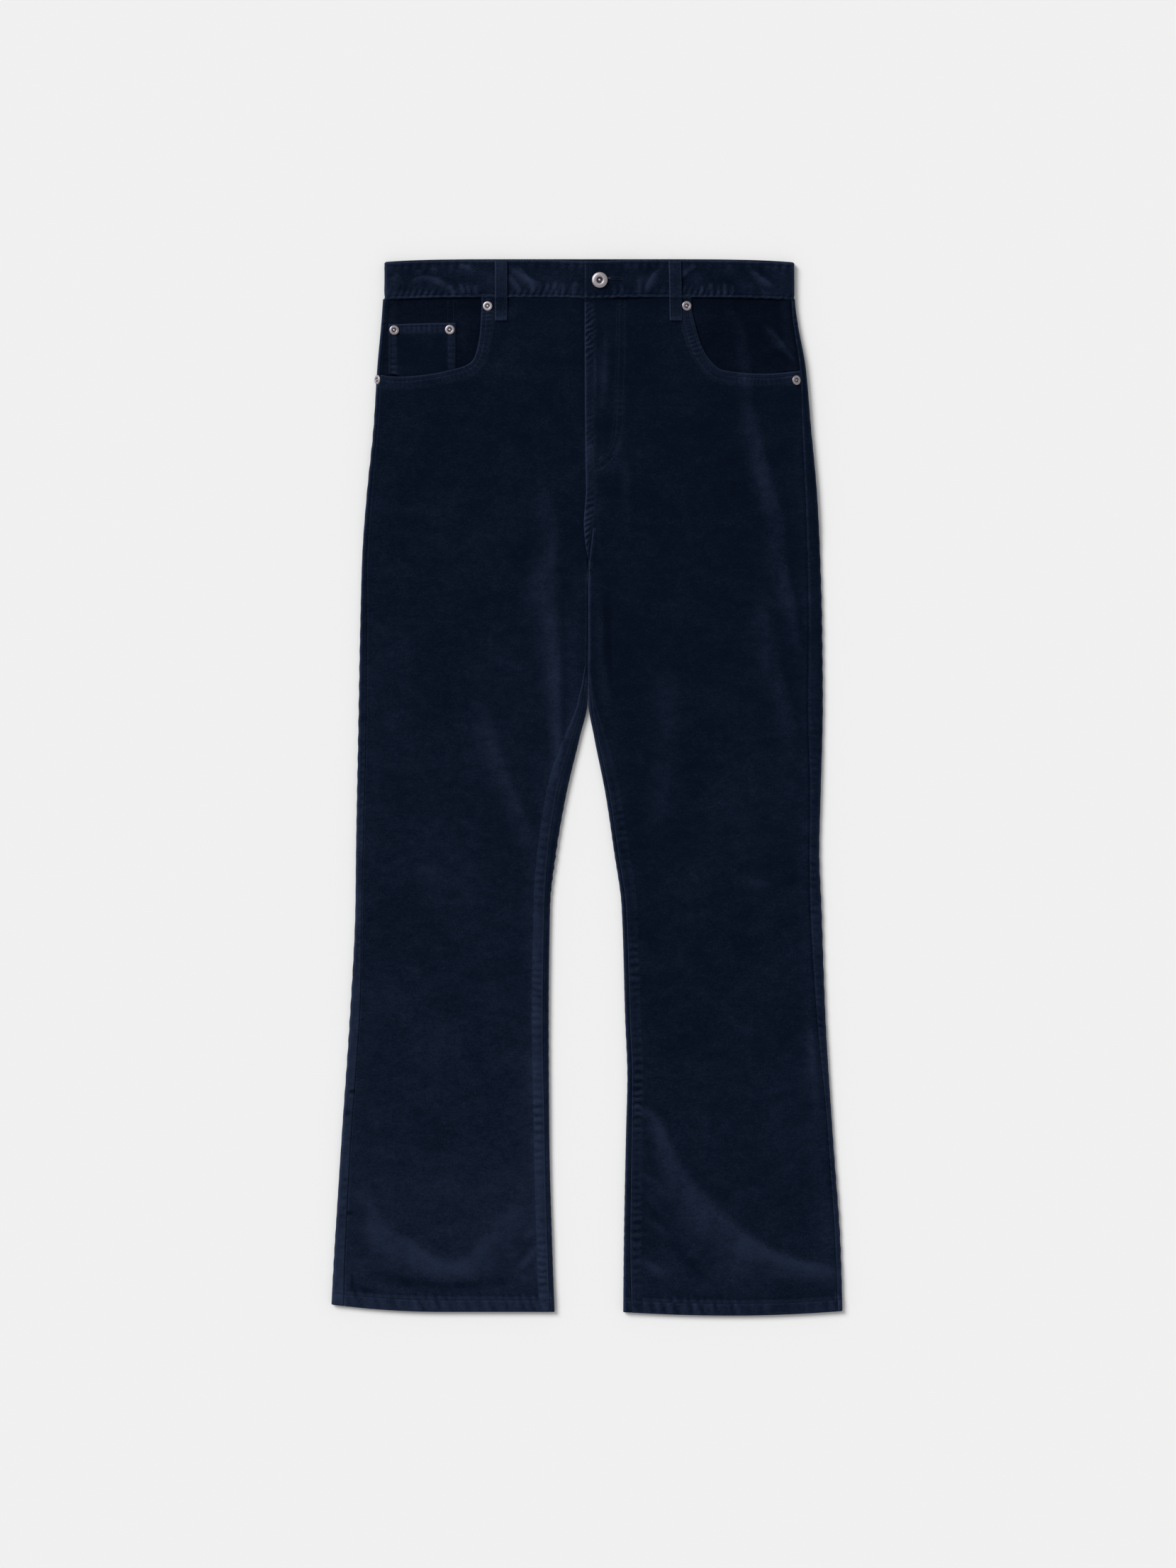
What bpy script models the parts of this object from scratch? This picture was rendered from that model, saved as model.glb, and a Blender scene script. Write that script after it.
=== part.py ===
"""Bootcut jeans laid flat with the front up: the cut pieces at their real size.

The waist points to +Y and the underside rests on z = 0. Left and right are as seen from above,
so the left leg is the one at -X. A place on the cloth is given in millimetres by "across", the
distance out from the centre line, "down", the distance below the waist's top edge, and "up",
the height above the surface that the jeans lie on.
"""

import math
from collections import namedtuple

import bmesh
import bpy
from mathutils import Matrix, Vector

MM = 0.001

# Cloth
CLOTH = 1.4  # thickness of the leg panels
LINING = 1.0  # thickness of pocket facings, coin pocket and turned-up hems
BAND = 2.2  # the waistband is cloth folded double
GAP = 0.3  # room left at every seam and between layers

# Lengths down from the waist's top edge
BAND_TOP = 0.8
BAND_LOW = 41.0
CROTCH = 322.0
HEM = 1128.5
HEM_TURN = 14.0  # height of the turned-up hem
BACK_RISE = -0.8  # the back of the waistband shows just above its front
SIDE_YOKE = 67.6  # the yoke's lower seam at the side
MIDDLE_YOKE = 30.0  # how much lower that seam is at the centre back

# How the cloth lies
FOLD_R = 3.0  # radius of the fold edges
REST = 2 * CLOTH + 0.6  # top of the front where it lies on the back
FOLD_UP = 2 * FOLD_R  # top of a fold edge
FOLD_FALL = 17.0  # how far in from a fold edge the cloth stays raised
SEAT_LIFT = 1.5  # the seat lies on its patch pockets and rear belt loops
SIDE_DROOP = 3.2  # the waist is this much lower at its two sides
HEM_LOWEST = HEM + 4.0  # the middle of the right hem
TOP_Y = (HEM_LOWEST + BACK_RISE) / 2  # puts the middle of the length on y = 0

# The fly
FLY = -2.6  # the lapped edge of the fly, across the middle to the right
FLY_LAP = 9.0  # the left front reaches this far under the right one
FLY_LIFT = CLOTH + GAP + 0.4
FLY_END = 262.0

# Pockets
FACING_DROP = CLOTH + GAP + LINING + GAP
COIN_DROP = CLOTH + GAP
FACING_INNER = 103.0
FACING_LOW = 136.0

Leg = namedtuple("Leg", "name sign side inseam hem_drop hem_rise fly_edge facing_drop scoop")
Side = namedtuple("Side", "down edge seam")
Inseam = namedtuple("Inseam", "down edge seam")
Fold = namedtuple("Fold", "x0 down0 x1 down1 x2 down2 half height")

# down: row; edge: fold edge from the centre line; seam: side seam, in from that edge, on the top
SIDE_LEFT = (
    Side(0, 216.6, 4.0),
    Side(41, 218.9, 4.0),
    Side(68, 220.8, 4.0),
    Side(117, 225.0, 4.0),
    Side(178, 228.8, 4.0),
    Side(254, 236.4, 5.0),
    Side(322, 241.3, 5.5),
    Side(391, 243.2, 7.5),
    Side(512, 245.5, 8.7),
    Side(634, 247.8, 8.0),
    Side(695, 248.5, 7.0),
    Side(816, 254.6, 11.0),
    Side(938, 263.0, 10.6),
    Side(1059, 270.6, 12.0),
    Side(1130, 274.2, 13.7),
)
SIDE_RIGHT = (
    Side(0, 221.9, 4.0),
    Side(41, 223.2, 4.0),
    Side(68, 226.5, 5.3),
    Side(117, 234.8, 6.8),
    Side(178, 240.2, 9.5),
    Side(254, 247.0, 13.0),
    Side(322, 250.4, 14.0),
    Side(391, 252.3, 14.8),
    Side(475, 253.1, 16.7),
    Side(573, 250.8, 12.0),
    Side(634, 249.3, 11.0),
    Side(695, 251.6, 12.5),
    Side(816, 256.1, 9.5),
    Side(938, 263.7, 5.5),
    Side(1059, 272.1, 6.0),
    Side(1130, 274.2, 5.0),
)
# From the crotch down; an edge below 0 lies past the centre line
INSEAM_LEFT = (
    Inseam(322, -0.95, 2.2),
    Inseam(391, -0.95, 5.0),
    Inseam(475, -0.60, 7.6),
    Inseam(512, 7.6, 9.9),
    Inseam(573, 22.0, 8.3),
    Inseam(634, 32.7, 7.6),
    Inseam(695, 39.5, 7.3),
    Inseam(816, 41.0, 6.5),
    Inseam(938, 40.3, 4.5),
    Inseam(1059, 37.2, 4.6),
    Inseam(1130, 34.6, 4.6),
)
INSEAM_RIGHT = (
    Inseam(322, 1.25, 2.2),
    Inseam(391, 1.25, 4.5),
    Inseam(475, 1.40, 5.0),
    Inseam(512, 7.6, 4.1),
    Inseam(573, 19.8, 4.0),
    Inseam(634, 28.9, 4.0),
    Inseam(695, 37.2, 4.5),
    Inseam(816, 41.0, 5.0),
    Inseam(877, 43.3, 5.0),
    Inseam(938, 41.8, 6.0),
    Inseam(1059, 39.5, 7.0),
    Inseam(1130, 38.8, 9.1),
)
# The pocket scoop from the waistband round to the side seam: (across, down)
SCOOP_LEFT = ((113, 30), (113.4, 55), (115.5, 83), (121, 105), (130, 113.5), (147, 118.5), (168, 122.8),
              (193, 125.4), (212, 125.2), (223, 122.7), (250, 118))
SCOOP_RIGHT = ((112, 30), (112.8, 55), (118.3, 78), (123.6, 93.5), (130.5, 105.6), (139, 115), (148, 118.9),
               (171, 121.9), (197, 122.4), (223, 119.9), (260, 117))

# The largest creases, each a ridge along a curve from 0 past 1 to 2; half is half its width
FOLDS = (
    Fold(-38, 246, -39, 360, -37, 482, 16, 1.8),
    Fold(-107, 440, -92, 545, -55, 628, 17, 1.8),
    Fold(-238, 1000, -205, 1090, -151, 1092, 17, 1.8),
    Fold(-151, 1092, -92, 1086, -68, 1005, 16, 1.6),
    Fold(-195, 650, -178, 655, -160, 649, 13, 1.2),
    Fold(-124, 610, -108, 618, -92, 612, 13, 1.2),
    Fold(172, 150, 190, 210, 213, 290, 17, 2.0),
    Fold(213, 290, 221, 330, 219, 372, 16, 1.8),
    Fold(187, 385, 200, 440, 212, 492, 15, 1.6),
    Fold(83, 440, 86, 500, 82, 560, 16, 1.4),
    Fold(60, 905, 110, 1055, 250, 1076, 19, 2.2),
    Fold(172, 662, 185, 674, 200, 668, 13, 1.2),
)

LEFT = Leg("left", -1, SIDE_LEFT, INSEAM_LEFT, 0.0, 8.0, -FLY, FACING_DROP, SCOOP_LEFT)
RIGHT = Leg("right", 1, SIDE_RIGHT, INSEAM_RIGHT, 4.0, 1.0, FLY, COIN_DROP, SCOOP_RIGHT)

COLOURS = {
    "velvet": (0.0045, 0.0072, 0.0165),
    "nickel": (0.62, 0.57, 0.54),
}


# ---- curves and heights

def ease(value, start, end):
    """0 before start, 1 after end, and a smooth step between them."""
    t = min(1.0, max(0.0, (value - start) / (end - start)))
    return t * t * (3 - 2 * t)


def through(points, at):
    """The height at `at` of a smooth curve through (place, height) points that never overshoots."""
    i = max(0, min(len(points) - 2, sum(p[0] <= at for p in points) - 1))
    slope = [(b[1] - a[1]) / (b[0] - a[0]) for a, b in zip(points, points[1:])]

    def tangent(k):
        if k in (0, len(points) - 1):
            return slope[min(k, len(slope) - 1)]
        before, after = slope[k - 1], slope[k]
        return 0.0 if before * after <= 0 else 2 * before * after / (before + after)

    (x0, y0), (x1, y1) = points[i], points[i + 1]
    h = x1 - x0
    t = min(1.0, max(0.0, (at - x0) / h))
    rise = (1 + 2 * t) * (1 - t) ** 2 * y0 + t * t * (3 - 2 * t) * y1
    return rise + h * t * (1 - t) * ((1 - t) * tangent(i) - t * tangent(i + 1))


def read(table, column, down):
    return through([(row.down, getattr(row, column)) for row in table], down)


def seat_lift(down):
    return SEAT_LIFT * (1 - ease(down, 276, 322))


def crease(x, down):
    """Height of the creases at a place, each soft across and fading out at its ends."""
    total = 0.0
    for fold in FOLDS:
        nearest, share = 1e9, 0.0
        for i in range(25):
            t = i / 24
            a, b, c = (1 - t) ** 2, 2 * t * (1 - t), t * t
            px = a * fold.x0 + b * fold.x1 + c * fold.x2
            pd = a * fold.down0 + b * fold.down1 + c * fold.down2
            far = math.hypot(x - px, down - pd)
            if far < nearest:
                nearest, share = far, t
        total += fold.height * math.exp(-((nearest / fold.half) ** 2)) * min(1, 4 * share + 0.2, 4.2 - 4 * share)
    return total * (1 - ease(down, 1098, 1116))


def top_up(leg, across, down):
    """Height of the front's upper side."""
    outer = read(leg.side, "edge", down) - FOLD_R - across
    raised = math.exp(-((max(0.0, outer) / FOLD_FALL) ** 2))
    if down > CROTCH:
        inner = across - read(leg.inseam, "edge", down) - FOLD_R
        raised = max(raised, math.exp(-((max(0.0, inner) / FOLD_FALL) ** 2)) * ease(down, CROTCH, CROTCH + 60))
    raised *= FOLD_UP - REST
    pocket = (1.3 + 1.2 * ease(down, 45, 72)) * (1 - ease(down, 145, 232))
    hem = 2.6 * ease(down, HEM - 60, HEM - HEM_TURN - 6)
    bulk = (raised**4 + pocket**4 + hem**4) ** 0.25
    return seat_lift(down) + REST + bulk + crease(leg.sign * across, down)


def band_up(x):
    """Height of the waistband's front."""
    leg = RIGHT if x > 0 else LEFT
    return top_up(leg, min(abs(x), 214.0), BAND_LOW) + 0.7


def bend(leg, across, down):
    """How far the waist line and the hem line leave a straight line."""
    droop = SIDE_DROOP * (min(abs(across), 225) / 220) ** 6 * (1 - ease(down, 45, 115))
    t = (across - 155) / 119
    hem = leg.hem_drop * (1 - t * t) - leg.hem_rise * max(0.0, t) ** 2
    return droop + hem * ease(down, 1000, HEM)


def place(leg, across, down, up):
    """A place on the cloth as a point in metres."""
    y = TOP_Y - down - bend(leg, across, down)
    return Vector((leg.sign * across, y, up)) * MM


# ---- making meshes

def material(name):
    made = bpy.data.materials.get(name) or bpy.data.materials.new(name)
    made.use_nodes = True
    shader = made.node_tree.nodes["Principled BSDF"]
    metal = name == "nickel"
    shader.inputs["Base Color"].default_value = (*COLOURS[name], 1)
    shader.inputs["Roughness"].default_value = 0.32 if metal else 0.85
    shader.inputs["Metallic"].default_value = 1.0 if metal else 0.0
    return made


def add_object(name, bm, finish):
    mesh = bpy.data.meshes.new(name)
    bm.to_mesh(mesh)
    bm.free()
    mesh.shade_smooth()
    mesh.set_sharp_from_angle(angle=math.radians(40))
    mesh.materials.append(material(finish))
    made = bpy.data.objects.new(name, mesh)
    bpy.context.scene.collection.objects.link(made)
    return made


def add_grid(bm, rows, closed=False):
    """Faces between rows of points. Their outer side is the one that a row turns left towards."""
    verts = [[bm.verts.new(point) for point in row] for row in rows]
    for upper, lower in zip(verts, verts[1:]):
        count = len(upper)
        for i in range(count if closed else count - 1):
            j = (i + 1) % count
            bm.faces.new((upper[i], upper[j], lower[j], lower[i]))


def cloth(name, grids, thickness, outward, closed=False):
    """A wall of cloth whose outer side passes through the rows, with its thickness inside them."""
    bm = bmesh.new()
    for rows in grids:
        add_grid(bm, rows, closed)
    bmesh.ops.remove_doubles(bm, verts=bm.verts, dist=1e-6)
    bm.normal_update()
    if outward(bm):
        bmesh.ops.reverse_faces(bm, faces=bm.faces)
    made = add_object(name, bm, "velvet")
    wall = made.modifiers.new("wall", "SOLIDIFY")
    wall.thickness = thickness * MM
    wall.offset = -1
    wall.use_even_offset = True
    wall.use_quality_normals = True
    return made


def faces_down(bm):
    """True where the highest face looks down, so that the grid is inside out."""
    highest = max(bm.faces, key=lambda face: face.calc_center_median().z)
    return highest.normal.z < 0


def steps(start, end, count):
    return [start + (end - start) * i / count for i in range(count + 1)]


# ---- rows and sections

SEAT_ROWS = (0.0, 0.08, 0.18, 0.29, 0.41, 0.53, 0.65, 0.77, 0.88, 0.97, 1.0)
LEG_ROWS = 25


def leg_downs():
    """Rows from the crotch to the hem, closer together where the crotch opens and at the hem."""
    turned_up = HEM - HEM_TURN - 5
    return [CROTCH + 14] + steps(CROTCH + 34, turned_up, LEG_ROWS) + [HEM - HEM_TURN / 2, HEM]


def seat_downs(start):
    return [start + (CROTCH - start) * share for share in SEAT_ROWS]


def yoke_seam(across):
    """The yoke is deepest at the centre back and runs out at the sides."""
    return SIDE_YOKE + MIDDLE_YOKE * (1 - min(1.0, abs(across) / 222) ** 1.2)


def fly_edge(leg, down):
    """The centre edge of a front above the crotch."""
    start, end = FLY_END - 25, FLY_END
    seamed = leg.fly_edge + GAP / 2
    lapped = seamed - FLY_LAP if leg is LEFT else seamed
    middle = lapped + (seamed - lapped) * ease(down, start, end)
    corner = read(leg.inseam, "edge", CROTCH) + read(leg.inseam, "seam", CROTCH) + GAP
    return middle + (corner - middle) * ease(down, CROTCH - 8, CROTCH)


def fly_lift(leg, across, down):
    """The right front rises over the left one."""
    if leg is LEFT:
        return 0.0
    near = 1 - ease(across, FLY_LAP + 3, FLY_LAP + 38)
    return FLY_LIFT * near * (1 - ease(down, FLY_END + 4, CROTCH - 6))


def front_section(leg, down, columns=13):
    outer = read(leg.side, "edge", down) - read(leg.side, "seam", down) - GAP / 2
    if down < CROTCH:
        inner = fly_edge(leg, down)
    else:
        inner = read(leg.inseam, "edge", down) + read(leg.inseam, "seam", down) + GAP / 2
    row = []
    for t in steps(0, 1, columns):
        across = outer + (inner - outer) * (t - 0.035 * math.sin(2 * math.pi * t))
        up = top_up(leg, across, down) + fly_lift(leg, across, down)
        row.append(place(leg, across, down, up))
    return row


def fold_arc(leg, edge, down, inwards, roundness, count=5):
    """The rounded fold at an edge of the cloth, from the top layer round to the bottom one."""
    reach = FOLD_R * roundness
    start = edge - inwards * reach
    low = seat_lift(down)
    half = (top_up(leg, start, down) - low) / 2
    points = []
    for angle in steps(math.pi / 2, -math.pi / 2, count):
        points.append((start + inwards * reach * math.cos(angle), low + half + half * math.sin(angle)))
    return points


def back_section(leg, down, whole, columns=5):
    """Across the back: from the side seam on top, round the side fold and under to the centre
    back or, where whole, on round the inner fold to the inseam on top."""
    edge = read(leg.side, "edge", down)
    seam = edge - read(leg.side, "seam", down) + GAP / 2
    arc = fold_arc(leg, edge, down, 1, 1.0)
    points = [(seam, top_up(leg, seam, down))] + arc
    if not whole:
        middle = leg.inseam[0].edge
        points += [(across, seat_lift(down)) for across in steps(arc[-1][0], middle, columns)[1:]]
        return [place(leg, across, down, up) for across, up in points]
    inner = read(leg.inseam, "edge", down)
    roundness = ease(down, CROTCH, CROTCH + 45)
    turn = fold_arc(leg, inner, down, -1, roundness)[::-1]
    points += [(across, seat_lift(down)) for across in steps(arc[-1][0], turn[0][0], columns)[1:-1]]
    points += turn
    last = inner + read(leg.inseam, "seam", down) - GAP / 2
    points.append((last, top_up(leg, last, down)))
    return [place(leg, across, down, up) for across, up in points]


# ---- the pieces

def make_front(leg):
    """A front panel, with the pocket scoop cut from its top outer corner."""
    rows = [front_section(leg, down) for down in seat_downs(BAND_LOW + GAP) + leg_downs()]
    panel = cloth("front_" + leg.name, [rows], CLOTH, faces_down)
    curve = scoop_curve(leg)
    far = 300.0
    outline = curve + [(far, curve[-1][1]), (far, 20.0), (curve[0][0], 20.0)]
    cut_through(panel, [(leg.sign * across, down) for across, down in outline], -5.0, 40.0)
    return panel


def scoop_curve(leg, pieces=3):
    """A smooth line through the scoop's points, as (across, down)."""
    points = leg.scoop
    padded = (points[0],) + points + (points[-1],)
    line = []
    for a, b, c, d in zip(padded, padded[1:], padded[2:], padded[3:]):
        for i in range(pieces):
            t = i / pieces
            line.append(tuple(
                0.5 * (2 * q + (r - p) * t + (2 * p - 5 * q + 4 * r - s) * t * t + (3 * q - p - 3 * r + s) * t**3)
                for p, q, r, s in zip(a, b, c, d)
            ))
    line.append(points[-1])
    return line


def cut_through(target, outline, low, high):
    """Cuts a shape, given as (x, down) points, down through the target."""
    bm = bmesh.new()
    base = [bm.verts.new(Vector((x, TOP_Y - down, low)) * MM) for x, down in outline]
    face = bm.faces.new(base)
    raised = bmesh.ops.extrude_face_region(bm, geom=[face])
    moved = [item for item in raised["geom"] if isinstance(item, bmesh.types.BMVert)]
    bmesh.ops.translate(bm, verts=moved, vec=(0, 0, (high - low) * MM))
    bmesh.ops.recalc_face_normals(bm, faces=bm.faces)
    cutter = add_object(target.name + "_cutter", bm, "velvet")
    cutter.hide_render = True
    cutter.display_type = "WIRE"
    cut = target.modifiers.new("cut", "BOOLEAN")
    cut.operation = "DIFFERENCE"
    cut.object = cutter
    return cutter


def make_back(leg):
    seat = []
    for share, down in zip(SEAT_ROWS, seat_downs(SIDE_YOKE)):
        row = back_section(leg, down, whole=False)
        seat.append([yoke_shift(point, share) for point in row])
    legs = [back_section(leg, down, whole=True) for down in [CROTCH] + leg_downs()]
    return cloth("back_" + leg.name, [seat, legs], CLOTH, faces_down)


def yoke_shift(point, share):
    """Moves a seat point down so that the panel's top row follows the yoke seam."""
    extra = (yoke_seam(abs(point.x) / MM) + GAP / 2 - SIDE_YOKE) * (1 - share)
    return point - Vector((0, extra * MM, 0))


def make_yoke(leg):
    rows = []
    start = BAND_LOW + GAP
    for share in (0.0, 0.34, 0.67, 1.0):
        row = back_section(leg, start + (SIDE_YOKE - start) * share, whole=False)
        shifted = []
        for point in row:
            across = abs(point.x) / MM
            low = yoke_seam(across) - GAP / 2
            down = start + (low - start) * share
            shifted.append(Vector((point.x, place(leg, across, down, 0).y, point.z)))
        rows.append(shifted)
    return cloth("yoke_" + leg.name, [rows], CLOTH, faces_down)


def facing_depth(leg, across, down):
    """How far the facing lies below the front: level with it at the side seam."""
    seam = read(leg.side, "edge", down) - read(leg.side, "seam", down)
    shallow = CLOTH + GAP
    deep = shallow + (leg.facing_drop - shallow) * ease(down, 44, 60)
    return deep * ease(seam - across, 0.5, 15)


def scoop_down(leg, across):
    """Where the scoop's lower edge crosses a line across."""
    lower = [p for p in scoop_curve(leg) if p[1] > 100]
    return through(lower, across)


def facing_low(leg, across, outer):
    """The facing's lower edge: tucked under the front, but for its outer end, which meets it."""
    meets = scoop_down(leg, max(across, 130.0)) - GAP
    return meets + (FACING_LOW - meets) * ease(outer - across, 15, 32)


def facing_outer(leg, down):
    return read(leg.side, "edge", down) - read(leg.side, "seam", down) - GAP / 2 - 0.1


def make_facing(leg):
    start = BAND_LOW + 2 * GAP
    corner = facing_low(leg, facing_outer(leg, 120), facing_outer(leg, 120))
    rows = []
    for share in steps(0, 1, 8):
        outer = facing_outer(leg, start + (corner - start) * share)
        row = []
        for across in steps(outer, FACING_INNER, 9):
            down = start + (facing_low(leg, across, outer) - start) * share
            up = top_up(leg, across, down) - facing_depth(leg, across, down)
            row.append(place(leg, across, down, up))
        rows.append(row)
    return cloth("facing_" + leg.name, [rows], LINING, faces_down)


def coin_up(leg, across, down):
    return top_up(leg, across, down) - facing_depth(leg, across, down) + LINING + GAP


def make_coin_pocket(leg):
    """The small pocket on the facing, its lower end under the edge of the scoop."""
    outer, inner, top = 212.5, 140.5, 67.6
    rows = []
    for share in steps(0, 1, 6):
        row = []
        for across in steps(outer, inner, 6):
            low = facing_low(leg, across, facing_outer(leg, 125)) - 2.0
            down = top + (low - top) * share
            row.append(place(leg, across, down, coin_up(leg, across, down)))
        rows.append(row)
    return cloth("coin_pocket", [rows], LINING, faces_down)


def band_path():
    """The waistband's outer side as (x, up, back share), from its lower end at the front, round
    the back, to the end that laps over it."""
    left, right = LEFT.side[0].edge + 0.6, RIGHT.side[0].edge + 0.6
    left_top, right_top = band_up(-(left - FOLD_R)), band_up(right - FOLD_R)
    lap = BAND + GAP
    points = [(x, band_up(0.0) if abs(x) < 40 else band_up(x), 0.0) for x in (29, 12, -6, -30, -70)]
    points += [(x, band_up(x), 0.0) for x in steps(-100, -(left - FOLD_R), 7)[:-1]]
    for angle in steps(math.pi / 2, 3 * math.pi / 2, 6):
        half = (left_top - SEAT_LIFT) / 2
        up = SEAT_LIFT + half + half * math.sin(angle)
        points.append((-(left - FOLD_R) + FOLD_R * math.cos(angle), up, (1 - math.sin(angle)) / 2))
    points += [(x, SEAT_LIFT, 1.0) for x in steps(-(left - FOLD_R), right - FOLD_R, 9)[1:-1]]
    for angle in steps(-math.pi / 2, math.pi / 2, 6):
        half = (right_top - SEAT_LIFT) / 2
        up = SEAT_LIFT + half + half * math.sin(angle)
        points.append((right - FOLD_R + FOLD_R * math.cos(angle), up, (1 - math.sin(angle)) / 2))
    points += [(x, band_up(x), 0.0) for x in steps(right - FOLD_R, 105, 6)[1:]]
    points += [(x, band_up(x) + lap * (1 - ease(x, 32, 82)), 0.0) for x in (84, 70, 56, 44, 31, 14, FLY)]
    return points


def make_waistband():
    rows = []
    for share in (0.0, 0.5, 1.0):
        row = []
        for x, up, behind in band_path():
            leg = RIGHT if x > 0 else LEFT
            top = BAND_TOP + (BACK_RISE - BAND_TOP) * behind
            down = top + (BAND_LOW - top) * share
            row.append(place(leg, abs(x), down, up))
        rows.append(row)
    band = cloth("waistband", [rows], BAND, faces_down)
    cut_buttonhole(band)
    return band


BUTTON_X, BUTTON_DOWN = 13.7, 22.8
SHANK_R = 1.5
HOLE_HALF = 1.9
HOLE_LENGTH = 24.0


def cut_buttonhole(band):
    """A slot through the lapped end alone, with a round end about the shank."""
    end = BUTTON_X + HOLE_LENGTH
    turn = [math.pi / 2 + math.pi * i / 8 for i in range(9)]
    outline = [(BUTTON_X + HOLE_HALF * math.cos(a), BUTTON_DOWN + HOLE_HALF * math.sin(a)) for a in turn]
    outline += [(end, BUTTON_DOWN - HOLE_HALF * 0.5), (end, BUTTON_DOWN + HOLE_HALF * 0.5)]
    return cut_through(band, outline, band_up(0.0) + GAP / 2, band_up(0.0) + 20)


def make_loop(name, leg, top_across, low_across, behind=False):
    """A belt loop: sewn down at both ends and arched between them in front, flat behind."""
    width, thick = 13.4, 1.2 if behind else 1.8
    arch = ((1.5, 0.0), (7, 0.5), (17, 1.6), (30, 1.5), (40, 0.9), (47, 0.8), (57, 0.1), (66, 0.0))
    rows = []
    for down, rise in arch:
        middle = top_across + (low_across - top_across) * down / 66
        under = band_up(leg.sign * middle) + fly_lift(leg, middle, down) if down < 44 else top_up(leg, middle, down)
        if down >= 44:
            under = max(under, band_up(leg.sign * middle) - 0.9 * (down - 44) / 4)
        up = thick if behind else under + rise + thick + 0.35
        row = []
        for side in (1, 0, -1):
            across = middle + side * width / 2
            row.append(place(leg, across, down, up))
        rows.append(row)
    return cloth(name, [rows], thick, faces_down)


def make_back_pocket(leg):
    """A plain five-sided patch pocket under the back panel."""
    middle, half_top, half_low = 119.0, 76.0, 68.0
    top, shoulder, point = 110.0, 243.0, 266.0
    outline = (
        (middle - half_top, top + 6), (middle + half_top, top), (middle + half_low, shoulder),
        (middle, point), (middle - half_low, shoulder),
    )
    bm = bmesh.new()
    base = [bm.verts.new(Vector((leg.sign * across, TOP_Y - down, 0)) * MM) for across, down in outline]
    face = bm.faces.new(base)
    raised = bmesh.ops.extrude_face_region(bm, geom=[face])
    moved = [item for item in raised["geom"] if isinstance(item, bmesh.types.BMVert)]
    bmesh.ops.translate(bm, verts=moved, vec=(0, 0, (SEAT_LIFT - GAP) * MM))
    bmesh.ops.recalc_face_normals(bm, faces=bm.faces)
    return add_object("pocket_back_" + leg.name, bm, "velvet")


def make_hem(leg):
    """The turned-up inside of the leg's end: a flat ring against the leg's inner side."""
    inset = CLOTH + GAP
    rows = []
    for down in (HEM - HEM_TURN, HEM - HEM_TURN / 2, HEM):
        outer = read(leg.side, "edge", down) - inset
        inner = read(leg.inseam, "edge", down) + inset
        reach = FOLD_R - inset
        tops = [(across, top_up(leg, across, down) - inset - 0.1) for across in steps(inner + reach, outer - reach, 12)]
        low = inset + 0.05
        half_out, half_in = (tops[-1][1] - low) / 2, (tops[0][1] - low) / 2
        ring = list(tops)
        for angle in steps(math.pi / 2, -math.pi / 2, 4)[1:]:
            ring.append((outer - reach + reach * math.cos(angle), low + half_out * (1 + math.sin(angle))))
        ring += [(across, low) for across in steps(outer - reach, inner + reach, 5)[1:]]
        for angle in steps(-math.pi / 2, -3 * math.pi / 2, 4)[1:-1]:
            ring.append((inner + reach + reach * math.cos(angle), low + half_in * (1 + math.sin(angle))))
        rows.append([place(leg, across, down, up) for across, up in ring])
    return cloth("hem_" + leg.name, [rows], LINING, faces_down, closed=True)


def turned(name, profile, sides, origin, tilt=0.0):
    """A round metal piece turned from (radius, height) points, lowest first, set on the cloth."""
    bm = bmesh.new()
    verts = [bm.verts.new((radius * MM, 0, height * MM)) for radius, height in profile]
    edges = [bm.edges.new(pair) for pair in zip(verts, verts[1:])]
    bmesh.ops.spin(
        bm, geom=verts + edges, cent=(0, 0, 0), axis=(0, 0, 1), angle=2 * math.pi, steps=sides, use_merge=True,
    )
    bmesh.ops.remove_doubles(bm, verts=bm.verts, dist=1e-6)
    bmesh.ops.recalc_face_normals(bm, faces=bm.faces)
    turn = Matrix.Rotation(tilt, 4, "Y")
    bmesh.ops.transform(bm, matrix=Matrix.Translation(origin) @ turn, verts=bm.verts)
    return add_object(name, bm, "nickel")


RIVET = ((0.0, 0.0), (5.0, 0.0), (5.1, 0.5), (4.5, 1.1), (3.3, 1.2), (2.7, 0.6), (1.2, 0.5), (0.8, 1.0), (0.0, 1.1))
RIVETS = (
    # name, leg, across, down, what it sits on
    ("rivet_1", LEFT, 106.4, 50.2, "front"),
    ("rivet_2", LEFT, 206.6, 74.6, "coin"),
    ("rivet_3", LEFT, 147.0, 75.2, "coin"),
    ("rivet_4", LEFT, 222.5, 129.5, "edge"),
    ("rivet_5", RIGHT, 106.9, 50.0, "front"),
    ("rivet_6", RIGHT, 224.2, 130.0, "front"),
)


def make_rivets():
    for name, leg, across, down, seat in RIVETS:
        if seat == "edge":
            origin, tilt = on_side_fold(leg, down, math.radians(38))
        else:
            height = coin_up if seat == "coin" else top_up
            spots = [(across + dx, down + dd) for dx in (-5, 0, 5) for dd in (-5, 0, 5)]
            origin = place(leg, across, down, max(height(leg, a, d) for a, d in spots) + GAP + 0.1)
            tilt = 0.0
        turned(name, RIVET, 16, origin, leg.sign * tilt)


def on_side_fold(leg, down, tilt):
    """A point just off the rounded side fold, where the cloth leans out by the tilt."""
    across = read(leg.side, "edge", down) - FOLD_R
    half = (top_up(leg, across, down) - seat_lift(down)) / 2
    clear = 2 * GAP + 0.2
    up = seat_lift(down) + half + (half + clear) * math.cos(tilt)
    return place(leg, across + (FOLD_R + clear) * math.sin(tilt), down, up), tilt


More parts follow.
